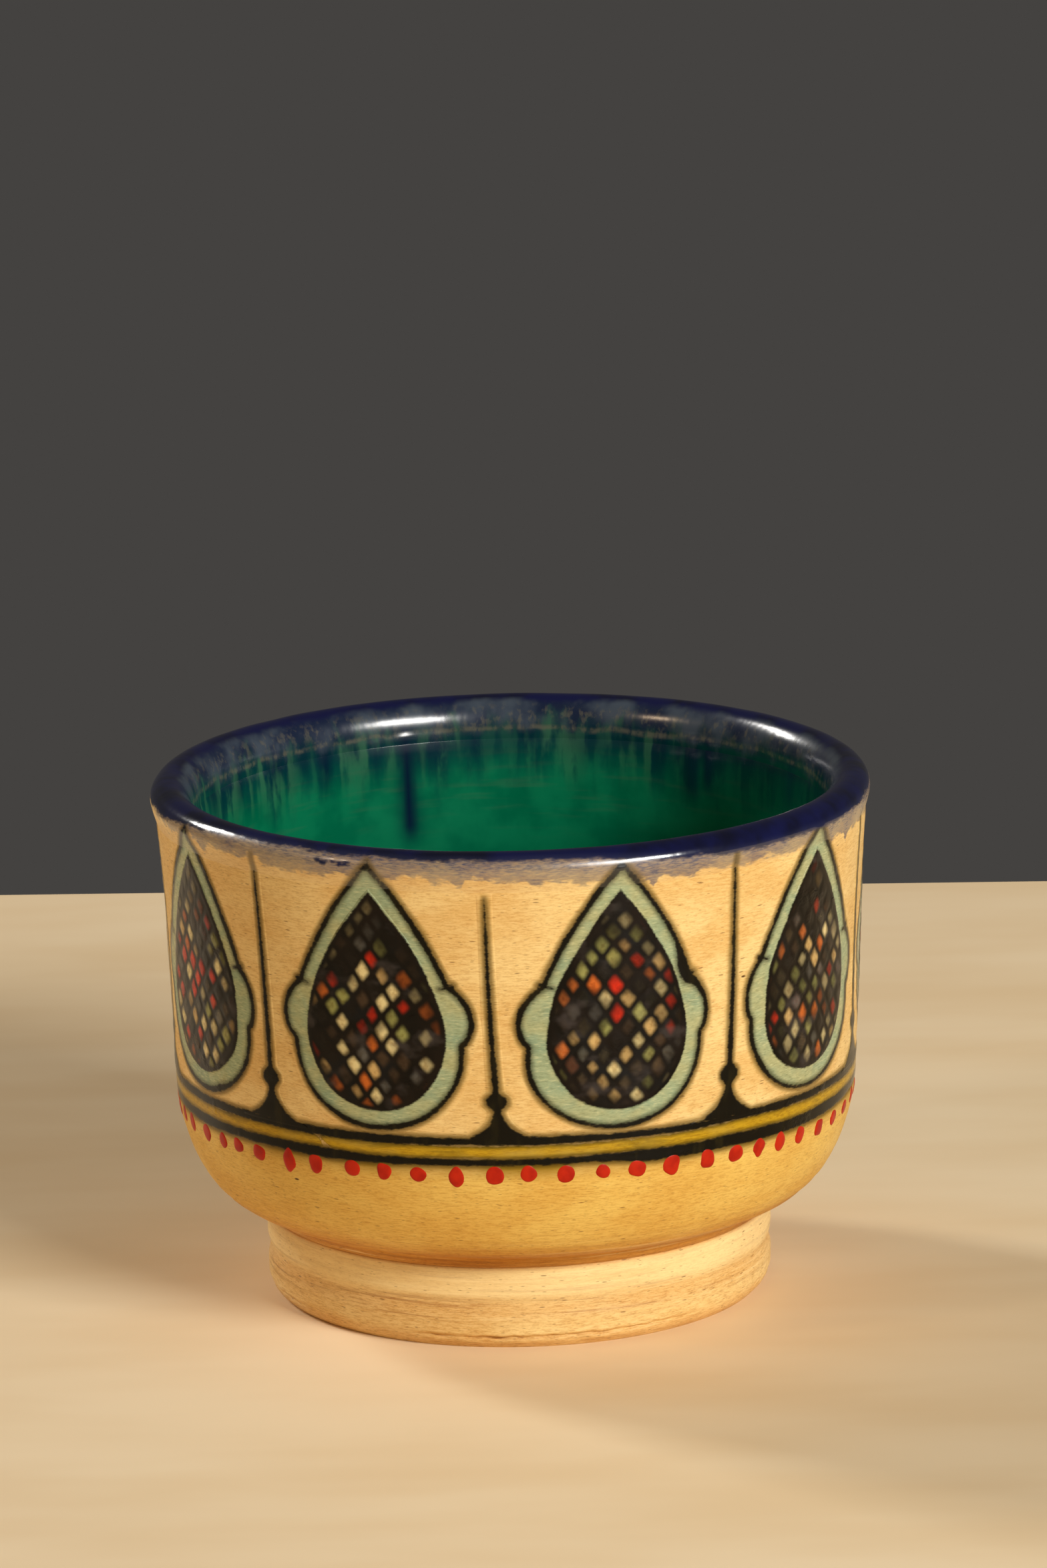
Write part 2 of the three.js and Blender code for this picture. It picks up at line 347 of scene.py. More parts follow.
# %% [markdown]
# The foot is turned from a thick ring. Its side bulges above and below a shallow ring, its top closes
# flush with the bowl's neck, and near the bench a flap of clay was smeared over the edge, which leaves a
# ragged seam with a burr below it. The seam is a real groove in the mesh, so it is cut where the grid has
# its finest rows.

# %% The foot and its ragged seam
foot_edge = 1.2
foot_wall = 6.0
foot_side_shares = [(0, 1.1), (0.085, 0.42), (0.245, 0.02), (0.35, 0), (0.5, 0.16), (0.64, 0), (0.86, -0.04),
                    (0.95, 0), (0.98, 0.02), (1, 0.06)]
seam_height, seam_depth, seam_half_width = 1.65, 0.42, 0.19
seam_middle, seam_reach = 8, np.radians(30)
burr_share, burr_drop, burr_width = 0.4, 0.55, 0.4
flap_share, flap_rise, flap_width = 0.3, 0.45, 0.3
middle_ring_height, middle_ring_depth, middle_ring_width = 5.9, 0.17, 0.75
scored_line_depth, scored_line_width = 0.06, 0.2


def foot_side(z):
    """The foot's outer radius at each height: it draws in towards both edges by shares of foot_edge."""
    return foot_radius - foot_edge * smooth_through(z / foot_height, *zip(*foot_side_shares))


def seam(turn, z):
    """The smeared flap's edge: a wavy groove, with a lip of clay above it and a burr below it. It is
    deepest round the front and comes and goes elsewhere."""
    line = seam_height + wander(turn, 21, 0.13, 3, 11) + wander(turn, 22, 0.07, 30, 90)
    below = z - line
    front = bell(turn_from(turn, seam_middle), seam_reach, 4)
    elsewhere = 0.45 * ease(wander(turn, 23, 1, 2, 7), 0.1, 1.0)
    rough = 1 + 0.4 * wander(turn, 24, 1, 20, 70)
    groove = bell(below, seam_half_width) * rough
    burr = burr_share * bell(below + burr_drop, burr_width) * (0.6 + wander(turn, 25, 0.5, 15, 60))
    flap = flap_share * bell(below - flap_rise, flap_width)
    return seam_depth * (front + elsewhere * (1 - front)) * (burr + flap - groove)


def foot_rings(turn, z):
    """Turning marks: a shallow ring at the middle with a scored line in it, and a few slight ones."""
    off = z - middle_ring_height - wander(turn, 26, 0.25, 1, 3)
    ring = -middle_ring_depth * bell(off, middle_ring_width)
    ring = ring - scored_line_depth * bell(off, scored_line_width)
    slight = 0.022 * np.sin(2 * np.pi * z / 1.7 + wander(turn, 27, 1.2, 1, 4))
    return (ring + slight) * ease(z, 2.4, 3.5) * (1 - ease(z, 9.2, 10.3))


def foot_points(columns):
    """The foot's grid: up the side, across the top, down the inner face and back over the standing
    edge. The standing edge is flat and slightly rounded on both sides."""
    turn = full_turn(columns)
    side_z = np.r_[0, 0.12, 0.3, np.arange(0.5, 2.8, 0.09), np.linspace(2.9, 9.4, 26),
                   np.linspace(9.6, foot_height, 8)]
    side = np.stack([foot_side(side_z), side_z], -1)
    inner = foot_radius - foot_wall
    back = [(inner + 1, foot_height), (inner, foot_height - 0.6), (inner + 0.1, 5), (inner + 0.25, 1.2),
            (inner + 0.7, 0.25), (inner + 1.5, 0), (inner + 2.9, 0)]
    line = np.concatenate([side, back])
    radius, z = line[:, 0, None], line[:, 1, None]
    on_side = (np.arange(len(line)) < len(side))[:, None]
    shape = foot_rings(turn, z) + seam(turn, z)
    radius = radius + np.where(on_side, shape * ease(z, 0, 0.5), wander(turn, 28, 0.06, 1, 5))
    return round_cup(turn, radius, z), len(side)


foot_grid, foot_side_rows = foot_points(720)
print("foot grid:", foot_grid.shape[:2])

# %% [markdown]
# The painting is worked out flat, as on a sheet wrapped round the wall: x is the distance round the cup
# and z the height. Each stroke is kept as a signed distance, negative inside the stroke. A distance is
# smooth, so it can be stored at the points of a mesh and still give a crisp edge in the material, and
# every layer that overlaps another reads the same value at the same place.

# %% Distances on the flat sheet
far_away = 4.0


def distance_to(line, x, z):
    """The distance from points to a closed line of short straight stretches, negative inside it, and the
    number of the nearest stretch. Each stretch gives the distance to its nearest point, and the smallest
    counts. A point is inside if a level ray from it crosses the line an odd number of times."""
    ax, az = line.T
    bx, bz = np.roll(ax, -1), np.roll(az, -1)
    dx, dz = bx - ax, bz - az
    px, pz = x[:, None] - ax, z[:, None] - az
    along = np.clip((px * dx + pz * dz) / (dx**2 + dz**2 + 1e-12), 0, 1)
    squared = (px - along * dx) ** 2 + (pz - along * dz) ** 2
    nearest = squared.argmin(1)
    crosses = (az > z[:, None]) != (bz > z[:, None])
    ahead = px < dx * pz / np.where(dz == 0, 1, dz)
    inside = (crosses & ahead).sum(1) % 2 == 1
    distance = np.sqrt(np.take_along_axis(squared, nearest[:, None], 1)[:, 0])
    return np.where(inside, -distance, distance), nearest


def distance_in_parts(line, x, z, part=6000):
    """distance_to for many points, some thousands at a time so that the tables stay small."""
    found = [distance_to(line, x[i:i + part], z[i:i + part]) for i in range(0, max(len(x), 1), part)]
    return [np.concatenate(parts) for parts in zip(*found)]


print("far from every drop, a drop's distances are set to", far_away, "mm")

# %% [markdown]
# A drop is a pear curve with a round lobe on each flank, outlined in black, with a band of celadon inside
# and a smaller pear, the lattice field, in the middle. Nine of them are painted by eye, so each gets its
# own small lean and width, and the brush line swells and thins along the way.

# %% The drops
ornament_count = 9
pitch = 2 * np.pi / ornament_count
first_drop = np.radians(-23.2)
drop_foot, drop_tip = 30.7, 64.9
drop_half_width = 11.25
lobe_height, lobe_half_height, lobe_depth = 45.2, 3.85, 1.35
field_foot, field_tip, field_half_width = 33.2, 61.0, 8.95
ink_width, heavy_stretch = 0.8, 0.13
tick_length, tick_drop, tick_half_width, tick_taper = 1.5, 0.35, 0.42, 0.2
pear_peak = 0.7698


def pear(turn, half_width, foot, tip):
    """A pear curve over a full turn, from the tip down the right flank and back up the left one. Its
    height follows a cosine, and its width the sine of the turn times the sine of half the turn."""
    share = (1 + np.cos(turn)) / 2
    across = np.sin(turn) * np.abs(np.sin(turn / 2)) / pear_peak
    return np.stack([half_width * across, foot + (tip - foot) * share], -1)


def ornament_traits(number):
    """Small differences of one drop from the next: lean of its tip, widths, lobes and heavy stroke."""
    random = np.random.default_rng(300 + number)
    return {"lean": random.uniform(-0.5, 0.5), "wide": random.uniform(0.96, 1.03, 2),
            "lobe": random.uniform(0.8, 1.15, 2), "lobe_shift": random.uniform(-0.6, 0.6, 2),
            "belly": random.uniform(-0.02, 0.06, 2),
            "heavy_place": random.uniform(0, 2 * np.pi), "heavy": random.uniform(0, 0.35)}


traits = [ornament_traits(number) for number in range(ornament_count)]
traits[0].update(lean=0.2, wide=(1.0, 1.02), lobe=(1.15, 1.15), lobe_shift=(0.5, -0.2), heavy=0.1,
                 belly=(0.02, 0.0))
traits[1].update(lean=0.2, wide=(0.98, 0.985), lobe=(0.9, 1.25), lobe_shift=(0.2, 0.3),
                 heavy_place=1.42, heavy=0.95, belly=(0.02, 0.1))


def drop_outline(number, count=520):
    """The outer edge of one drop's black line: the pear, pushed out by a round arc at each lobe."""
    trait = traits[number]
    turn = full_turn(count)
    line = pear(turn, drop_half_width, drop_foot, drop_tip)
    right = turn < np.pi
    side = np.where(right, 1, -1)
    place = (line[:, 1] - lobe_height - np.where(right, *trait["lobe_shift"])) / lobe_half_height
    bulge = lobe_depth * np.where(right, *trait["lobe"]) * np.clip(1 - place**2, 0, 1) ** 0.75
    low = 1 - ease(line[:, 1], lobe_height - 9, lobe_height - 1)
    width = np.where(right, *trait["wide"]) + low * np.where(right, *trait["belly"])
    line[:, 0] = line[:, 0] * width + side * bulge
    shaky = wander(turn, 310 + number, 0.09, 3, 12) * ease(drop_tip - line[:, 1], 0, 8)
    line[:, 0] += side * shaky + trait["lean"] * ease(line[:, 1], drop_foot + 12, drop_tip)
    return line


def field_outline(number, count=420):
    """The edge of one drop's lattice field."""
    trait = traits[number]
    turn = full_turn(count)
    line = pear(turn, field_half_width, field_foot, field_tip)
    right = turn < np.pi
    side = np.where(right, 1, -1)
    line[:, 0] *= np.where(right, *trait["wide"])
    shaky = wander(turn, 320 + number, 0.13, 2, 11) * ease(field_tip - line[:, 1], 0, 6)
    line[:, 0] += side * shaky + trait["lean"] * ease(line[:, 1], drop_foot + 12, drop_tip)
    return line


drop_lines = [drop_outline(number) for number in range(ornament_count)]
field_lines = [field_outline(number) for number in range(ornament_count)]


def drop_strokes(number, x, z):
    """Signed distances to one drop's black line, its celadon and its field. The black line runs along
    the inside of the outline, and its width wanders and swells at the heavy place. Where the line meets
    a lobe's upper end the brush left a short tick that points into the celadon."""
    trait, line = traits[number], drop_lines[number]
    edge, nearest = distance_in_parts(line, x, z)
    turn = full_turn(len(line))
    swell = trait["heavy"] * bell(turn - trait["heavy_place"], heavy_stretch)
    width = ink_width * (1 + wander(turn, 330 + number, 0.13, 1, 7)) + swell
    half = width[nearest] / 2
    ink = np.abs(edge + half) - half
    for side, shift in zip((1, -1), trait["lobe_shift"]):
        flank = np.nonzero((turn < np.pi) == (side > 0))[0]
        top = lobe_height + lobe_half_height + shift
        notch_x, notch_z = line[flank[np.abs(line[flank, 1] - top).argmin()]]
        toward_x, toward_z = -tick_length * side, -tick_drop
        along = ((x - notch_x) * toward_x + (z - notch_z) * toward_z) / (toward_x**2 + toward_z**2)
        along = np.clip(along, 0, 1)
        away = np.hypot(x - notch_x - along * toward_x, z - notch_z - along * toward_z)
        ink = np.minimum(ink, away - tick_half_width + tick_taper * along)
    field, _ = distance_in_parts(field_lines[number], x, z)
    return ink, edge + ink_width / 2, field


print("drop outline points:", len(drop_lines[0]), "field outline points:", len(field_lines[0]))

# %% [markdown]
# Between two drops stands a spire: a long hair line that a loaded brush pulled upwards, a small bead near
# its foot, and a foot that flares in two hollow curves onto the dark line.

# %% The spires
spire_foot = 29.9
spire_half_width = 4.9
spire_tips = [63.8, 60.6, 64.0, 62.4, 63.3, 61.4, 63.9, 62.6, 63.4]
spire_leans = [-0.7, -1.2, 0.6, -0.3, 0.9, -0.6, 0.4, -1.0, 0.4]
spire_shifts = [-0.4, 0.3, -0.2, 0.6, -0.4, 0.2, -0.5, 0.4, 0.0]
spire_width_shares = [(0, 1), (0.02, 0.72), (0.05, 0.4), (0.085, 0.2), (0.12, 0.125), (0.138, 0.2),
                      (0.155, 0.285), (0.172, 0.285), (0.19, 0.19), (0.205, 0.1), (0.45, 0.085),
                      (0.75, 0.06), (0.97, 0.035), (1, 0)]
bead_top_share = 0.21


def spire_half(share):
    """A spire's half width at a share of its height."""
    return spire_half_width * smooth_through(share, *zip(*spire_width_shares))


def spire_middle(number, z):
    """Where a spire's middle line stands at height z, which leans and bends a little."""
    share = (z - spire_foot) / (spire_tips[number] - spire_foot)
    bow = 0.25 * np.sin(np.pi * np.clip(share, 0, 1)) * (-1) ** number
    return spire_shifts[number] + spire_leans[number] * share + bow * (number % 3)


def spire_line(number, count=150):
    """The closed outline of one spire: up its right edge and down its left one."""
    share = np.r_[np.linspace(0, bead_top_share, count), np.linspace(bead_top_share, 1, 40)[1:]]
    z = spire_foot + share * (spire_tips[number] - spire_foot)
    middle, half = spire_middle(number, z), spire_half(share)
    up = np.stack([middle + half, z], -1)
    down = np.stack([middle - half, z], -1)[::-1]
    return np.concatenate([up, down[1:]])


spire_lines = [spire_line(number) for number in range(ornament_count)]
print("spire outline points:", len(spire_lines[0]))

# %% [markdown]
# The two black lines and the yellow one were banded on the wheel with a loaded brush. They are nearly
# level, their edges wander by a fraction of a millimetre, and the yellow brush left a few slanting gaps.

# %% The bands, and all strokes together
band_drift_places = [(-180, 0.1), (-120, -0.15), (-66, -0.3), (-45, -0.05), (-20, 0), (3, 0.1), (28, -0.02),
                     (38, 0.08), (60, -0.25), (110, 0.1), (180, 0.1)]
lower_line_top, yellow_middle, yellow_width = 27.72, 28.45, 1.66
upper_line_middle, upper_line_width = 29.78, 1.2
lower_width_places = [(-180, 1.25), (-62, 1.3), (-34, 1.35), (-14, 1.12), (12, 1.12), (24, 1.7), (45, 1.8),
                      (64, 1.45), (100, 1.15), (140, 1.6), (180, 1.25)]
brush_gaps = [(-33.2, 28.1), (112, 28.3), (-140, 28.6)]
gap_depth, gap_slope, gap_half_width, gap_reach = 1.3, 0.9, 0.32, 1.0


def round_the_cup(turn, places):
    """A value that changes slowly round the cup, through pairs of degrees and values."""
    degrees = (np.degrees(turn) + 180) % 360 - 180
    return smooth_through(degrees, *zip(*places))


def band_stroke(turn, z, middle, width, seed):
    """Signed distance to a band: its distance from a drifting middle, less half a wandering width."""
    centre = middle + round_the_cup(turn, band_drift_places) + wander(turn, seed, 0.04, 3, 14)
    half = width / 2 * (1 + wander(turn, seed + 1, 0.1, 2, 17)) + wander(turn, seed + 2, 0.02, 40, 120)
    return np.abs(z - centre) - half


def nearest_ornament(turn, first):
    """The number of the nearest ornament, and the distance to its middle line round the wall."""
    place = (turn - first) / pitch
    number = np.round(place).astype(int)
    return number % ornament_count, (place - number) * pitch * mean_wall_radius


def paint(turn, z):
    """The distances to all strokes at points of the wall, as one dictionary: ink, green, field and
    yellow are signed distances in millimetres, cell_u and cell_v the place in the lattice, and drop the
    number of the nearest drop."""
    shape = np.broadcast_shapes(np.shape(turn), np.shape(z))
    turn, z = (np.broadcast_to(a, shape).ravel().astype(float) for a in (turn, z))
    lower_width = round_the_cup(turn, lower_width_places)
    ink = np.minimum(band_stroke(turn, z, lower_line_top - lower_width / 2, lower_width, 41),
                     band_stroke(turn, z, upper_line_middle, upper_line_width, 51))
    yellow = band_stroke(turn, z, yellow_middle, yellow_width, 61)
    for degrees, height in brush_gaps:
        off = turn_from(turn, degrees) * mean_wall_radius
        gap = bell(z - height + gap_slope * off, gap_half_width) * bell(off, gap_reach)
        yellow = yellow + gap_depth * gap
    green, field = np.full(len(z), far_away), np.full(len(z), far_away)
    drop, x = nearest_ornament(turn, first_drop)
    spire, spire_x = nearest_ornament(turn, first_drop - pitch / 2)
    for number in range(ornament_count):
        near = (drop == number) & (z > drop_foot - far_away)
        outline, celadon, inner = drop_strokes(number, x[near], z[near])
        ink[near] = np.minimum(ink[near], outline)
        green[near], field[near] = celadon, inner
        near = (spire == number) & (z > spire_foot - far_away) & (np.abs(spire_x) < 2 * spire_half_width)
        edge, _ = distance_in_parts(spire_lines[number], spire_x[near], z[near])
        ink[near] = np.minimum(ink[near], edge)
    cell_u, cell_v = lattice_place(drop, x, z)
    found = {"ink": ink, "green": green, "field": field, "yellow": yellow,
             "cell_u": cell_u, "cell_v": cell_v, "drop": drop}
    return {key: np.clip(value, -99, 99).reshape(shape) for key, value in found.items()}


# %% [markdown]
# The lattice is drawn freehand: two sets of slanting dark lines, with a small pool of coloured enamel in
# each rhombus. Its two slanting steps turn a place on the wall into a place in the lattice, whose whole
# part says which cell it is in.

# %% The lattice
cell_step_down_left = (-1.36, -1.52)
cell_step_down_right = (1.36, -1.9)


def lattice_place(drop, x, z):
    """The place in the lattice: x and z taken apart into so many steps down-left and so many
    down-right, with a slow bend of the lines that differs from drop to drop."""
    (a, b), (c, d) = cell_step_down_left, cell_step_down_right
    bend = 0.22 * np.sin(0.34 * z + 1.7 * drop) + 0.16 * np.sin(0.5 * x + 2.3 * drop)
    sway = 0.2 * np.sin(0.41 * x + 0.2 * z + 0.9 * drop)
    x, z = x + bend + 0.37 * drop, z - (field_foot + field_tip) / 2 + sway
    size = a * d - b * c
    return (x * d - z * c) / size, (a * z - b * x) / size


trial = paint(np.radians([-23.2, -3.2, 0]), np.array([45.0, 45.0, 27.3]))
print("ink distance inside a drop, beside a spire and on the lower line:", trial["ink"].round(2))

# %% [markdown]
# Glaze and enamel are thin glass, and they stand a little off the clay. The relief is worked out from
# the same distances as the colours: strokes and pools are raised by some hundredths of a millimetre, and
# each pool of the lattice is a small dome.

# %% The relief of the painting
ink_relief, green_relief, field_relief, pool_relief, yellow_relief = 0.045, 0.05, 0.07, 0.05, 0.03
lattice_rim = 0.75


def pools(strokes):
    """1 in the middle of each lattice pool and 0 on the dark lines and outside the field. The fourth root
    of the summed fourth powers of the offsets from the cell's middle makes a rounded rhombus."""
    u, v = (strokes[key] % 1 - 0.5 for key in ("cell_u", "cell_v"))
    offset = (np.abs(u) ** 4 + np.abs(v) ** 4) ** (1 / 4)
    return (1 - ease(offset, 0.25, 0.48)) * (1 - ease(strokes["field"], -lattice_rim - 0.3, -lattice_rim))


def relief(strokes):
    """How far the fired colours stand off the wall."""
    green = green_relief * (1 - ease(strokes["green"], -0.45, 0))
    field = field_relief * (1 - ease(strokes["field"], -0.35, 0.1))
    yellow = yellow_relief * (1 - ease(strokes["yellow"], -0.3, 0.1))
    ink = ink_relief * (1 - ease(strokes["ink"], -0.3, 0.12))
    return green + field + pool_relief * pools(strokes) + yellow + ink


print("relief at the three trial places:", relief(trial).round(3), "mm")

# %% [markdown]
# At the lip the cobalt was brushed on thickly and ran: it ends outside in a dark edge, with a few dabs and
# a thin greyish wash below it that has a ragged border and drips. Places on the lip are told by the
# distance over it from its crest, negative outside and positive inside.

# %% The edges of the cobalt glaze
coat_lip_radius = lip_radius + coat_stack
quarter_turn = coat_lip_radius * np.pi / 2
navy_reach_places = [(-180, 2.3), (-140, 2.6), (-105, 3.1), (-80, 3.3), (-62, 2.5), (-45, 1.9), (-20, 1.95),
                     (4, 1.9), (14, 2.3), (27, 3.3), (45, 3.75), (64, 3.7), (82, 3.0), (100, 2.6),
                     (135, 2.4), (180, 2.3)]
wash_reach_places = [(-180, 4.2), (-110, 3.8), (-80, 3.6), (-55, 4.1), (-20, 4.5), (0, 4.4), (25, 5.4),
                     (50, 5.5), (75, 6.0), (100, 4.8), (140, 4.3), (180, 4.2)]
drips = [(-57, 0.5, 0.6), (-42, 0.8, 0.55), (-33, 0.4, 0.9), (-12, 0.6, 0.8), (-8, 0.7, 0.5), (4, 0.5, 0.9),
         (11, 0.6, 0.7), (22.5, 1.5, 0.55), (29, 0.5, 0.6), (61, 1.7, 0.6), (68, 1.3, 0.5), (84, 0.9, 0.8),
         (103, 1.2, 0.5), (127, 0.7, 0.8), (151, 1.6, 0.6), (176, 0.8, 0.5), (-159, 1.3, 0.6),
         (-138, 0.6, 0.9), (-117, 1.5, 0.5), (-93, 0.8, 0.7)]
dabs = [(-31.4, 2.75, 0.42), (-30.3, 3.05, 0.4), (-28.7, 2.8, 0.45), (-27.4, 3.1, 0.35), (-26.3, 2.9, 0.4),
        (118.0, 3.2, 0.5), (121.0, 3.0, 0.4)]
dab_flatness = 1.4


def crest_distance(z):
    """The distance over the lip, from its crest to a point outside at height z, as a negative number."""
    above = np.clip((z - lip_height) / coat_lip_radius, 0, 1)
    return -np.where(z > lip_height, coat_lip_radius * np.arccos(above), quarter_turn + lip_height - z)


def cobalt_edges(turn, crest):
    """How far inside the navy's and the wash's lower edge a point is, positive inside. A few small round
    dabs of navy fell below its edge, and drips hang from the wash as narrow bell curves."""
    navy = crest + round_the_cup(turn, navy_reach_places) + wander(turn, 71, 0.12, 5, 60)
    wash = crest + round_the_cup(turn, wash_reach_places) + wander(turn, 72, 0.22, 8, 110)
    for degrees, below, size in dabs:
        off = turn_from(turn, degrees) * mean_wall_radius
        navy = np.maximum(navy, size - np.hypot(off, (crest + below) * dab_flatness))
    for degrees, length, half_width in drips:
        wash = wash + length * bell(turn_from(turn, degrees) * mean_wall_radius, half_width)
    return navy, wash


print("drips of the wash:", len(drips), "dabs of navy:", len(dabs))

# %% [markdown]
# Inside, the cobalt of the lip ran down over the green in fine streaks, with a few strong dark runs. Each
# run has a place round the hollow, a half width, a start and an end below the crest, and a strength.

# %% The runs inside
cobalt_runs = [(-160.3, 1.5, 3, 20, 1), (-161.5, 2.6, 3.5, 11, 0.6), (-166, 2.2, 3.5, 8, 0.5),
               (143, 1.25, 4, 14, 1), (139.4, 1.1, 4, 12.5, 1), (141, 3.4, 4, 9.5, 0.6),
               (-119, 0.9, 3, 11, 0.55), (-131, 1.4, 3.5, 9, 0.6), (-138, 0.8, 3.5, 10, 0.5),
               (-143, 0.9, 4, 11.5, 0.7), (-149, 1.3, 3.5, 8, 0.5), (-108, 1.5, 3, 10, 0.7),
               (-172, 1.2, 3, 7, 0.5), (176, 1.6, 3, 7.5, 0.5), (168, 1.0, 3, 8, 0.4),
               (157, 1.8, 3, 7.5, 0.6), (150, 0.9, 3, 9, 0.5), (128, 1.6, 3, 9, 0.5), (115, 1.2, 3, 12, 0.7),
               (97, 1.4, 3, 9, 0.6), (74, 1.0, 3, 13, 0.8), (58, 1.5, 3, 8, 0.5), (37, 0.9, 3, 10, 0.6),
               (19, 1.7, 3, 8.5, 0.5), (-2, 1.0, 3, 14, 0.9), (-21, 1.4, 3, 9, 0.6), (-40, 1.1, 3, 10, 0.6),
               (-63, 1.6, 3, 8, 0.5), (-84, 1.0, 3, 12, 0.8)]


def run_strength(turn, crest):
    """How strong the dark runs are at a place inside, from 0 to 1: bell curves round the hollow that
    fade in below the lip and fade out at their ends."""
    strength = np.zeros(np.broadcast_shapes(np.shape(turn), np.shape(crest)))
    for degrees, half_width, start, end, weight in cobalt_runs:
        across = bell(turn_from(turn, degrees) * inner_lip_radius, half_width)
        along = ease(crest, start - 0.8, start + 0.6) * (1 - ease(crest, end - 3, end + 1))
        strength = np.maximum(strength, weight * across * along)
    return strength


def wall_values(turn, z):
    """Everything that the wall's finish needs to know at points of its surface."""
    strokes = paint(turn, z)
    navy, wash = cobalt_edges(turn, crest_distance(z))
    return {**strokes, "navy": navy, "wash": wash}


print("runs of cobalt in the hollow:", len(cobalt_runs))

# %% [markdown]
# Now the pieces themselves. The bowl is one closed skin with a pole in the middle of its underside and
# one in the middle of its hollow. The map gives most of its room to the wall, which is what shows.

# %% Make the bowl
def finish_piece(piece, slot, *nodes):
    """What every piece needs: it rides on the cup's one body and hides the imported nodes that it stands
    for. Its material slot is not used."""
    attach(piece, "root")
    if nodes:
        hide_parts(*nodes)
    return piece


wall_columns = 560
unseen_room = 0.2


def make_bowl():
    """The clay's outline turned round the cup, with the marks of throwing on its outside. What the glaze
    or the foot hides gets little room on the map."""
    turn = full_turn(wall_columns)
    radius, z = clay_line[:, 0, None], clay_line[:, 1, None]
    row = np.arange(len(clay_line))[:, None]
    outside = (row >= len(underside) - 1) & (row < len(underside) + len(wall_line))
    grid = round_cup(turn, radius + np.where(outside, throwing(turn, z), 0), z)
    strokes = wall_values(turn, np.where(outside, z, waist_height + 0 * turn))
    lengths = np.linalg.norm(np.diff(clay_line, axis=0), axis=1)
    share = shares(lengths * np.where(outside[1:, 0], 1, unseen_room))
    return skin("thrown_bowl", grid, strokes, strips=4, row_share=share, poles=True)


bowl = finish_piece(make_bowl(), "buff_clay", "bowl")

# %% [markdown]
# The foot ring closes on itself across its section, so it has no poles.

# %% Make the foot
def make_foot():
    """The foot's grid, whose hidden inner rows get a third of the room on the map that the side gets."""
    line = np.stack([np.hypot(*foot_grid[:, 0, :2].T), foot_grid[:, 0, 2]], -1)
    lengths = np.linalg.norm(np.roll(line, -1, axis=0) - line, axis=1)
    share = shares(lengths * np.where(np.arange(len(line)) < foot_side_rows, 1, 0.35))
    return skin("turned_foot", foot_grid, {}, strips=4, row_share=share)


foot = finish_piece(make_foot(), "buff_clay", "foot_ring")

# %% [markdown]
# The two glaze coats are thin closed shells. Their outer faces lie half a millimetre off the clay and
# their inner faces inside it. Outside, the cobalt thins out to nothing over almost three millimetres, and
# inside it meets the green coat, which laps over its edge. Glaze that ran is thicker, so the runs are
# raised. The lip is rounder and broader inside than outside, so its section is half a circle outside and
# a quarter of an ellipse inside.

# %% Make the glaze coats
coat_columns = 600
coat_bite, back_room = 0.3, 0.15
coat_low_outside, coat_full_outside = 60.9, 63.7
coat_low_inside, liner_top = 60.3, 61.2
bevel_width, bevel_height, bevel_end = 3.0, 4.2, 52
bevel_foot = cup_height - bevel_height
bevel_lift = hollow_side(bevel_foot) - coat_stack - (body_radius - lip_radius - bevel_width)
run_relief, coat_unevenness = 0.13, 0.035
edge_dip, lap_depth = 0.06, 0.1
liner_float, liner_edge_dip = 0.02, 0.14


def coat_face(turn, line, crest, lift):
    """Points of a coat's outer face inside the cup: the line (radius, height), moved off the clay."""
    uneven = coat_unevenness * wander(turn, 81, 1, 4, 40) * ease(crest, 1, 3)
    bevel = bevel_lift * ease(line[:, 1], bevel_end, bevel_foot)
    grow = lift + bevel[:, None] + run_relief * run_strength(turn, crest) + uneven
    along = np.gradient(line, axis=0)
    off_clay = np.stack([along[:, 1], -along[:, 0]], -1)
    off_clay /= np.linalg.norm(off_clay, axis=1)[:, None]
    shift = off_clay[:, None, :] * grow[..., None]
    return round_cup(turn, line[:, 0, None] + shift[..., 0], line[:, 1, None] + shift[..., 1])


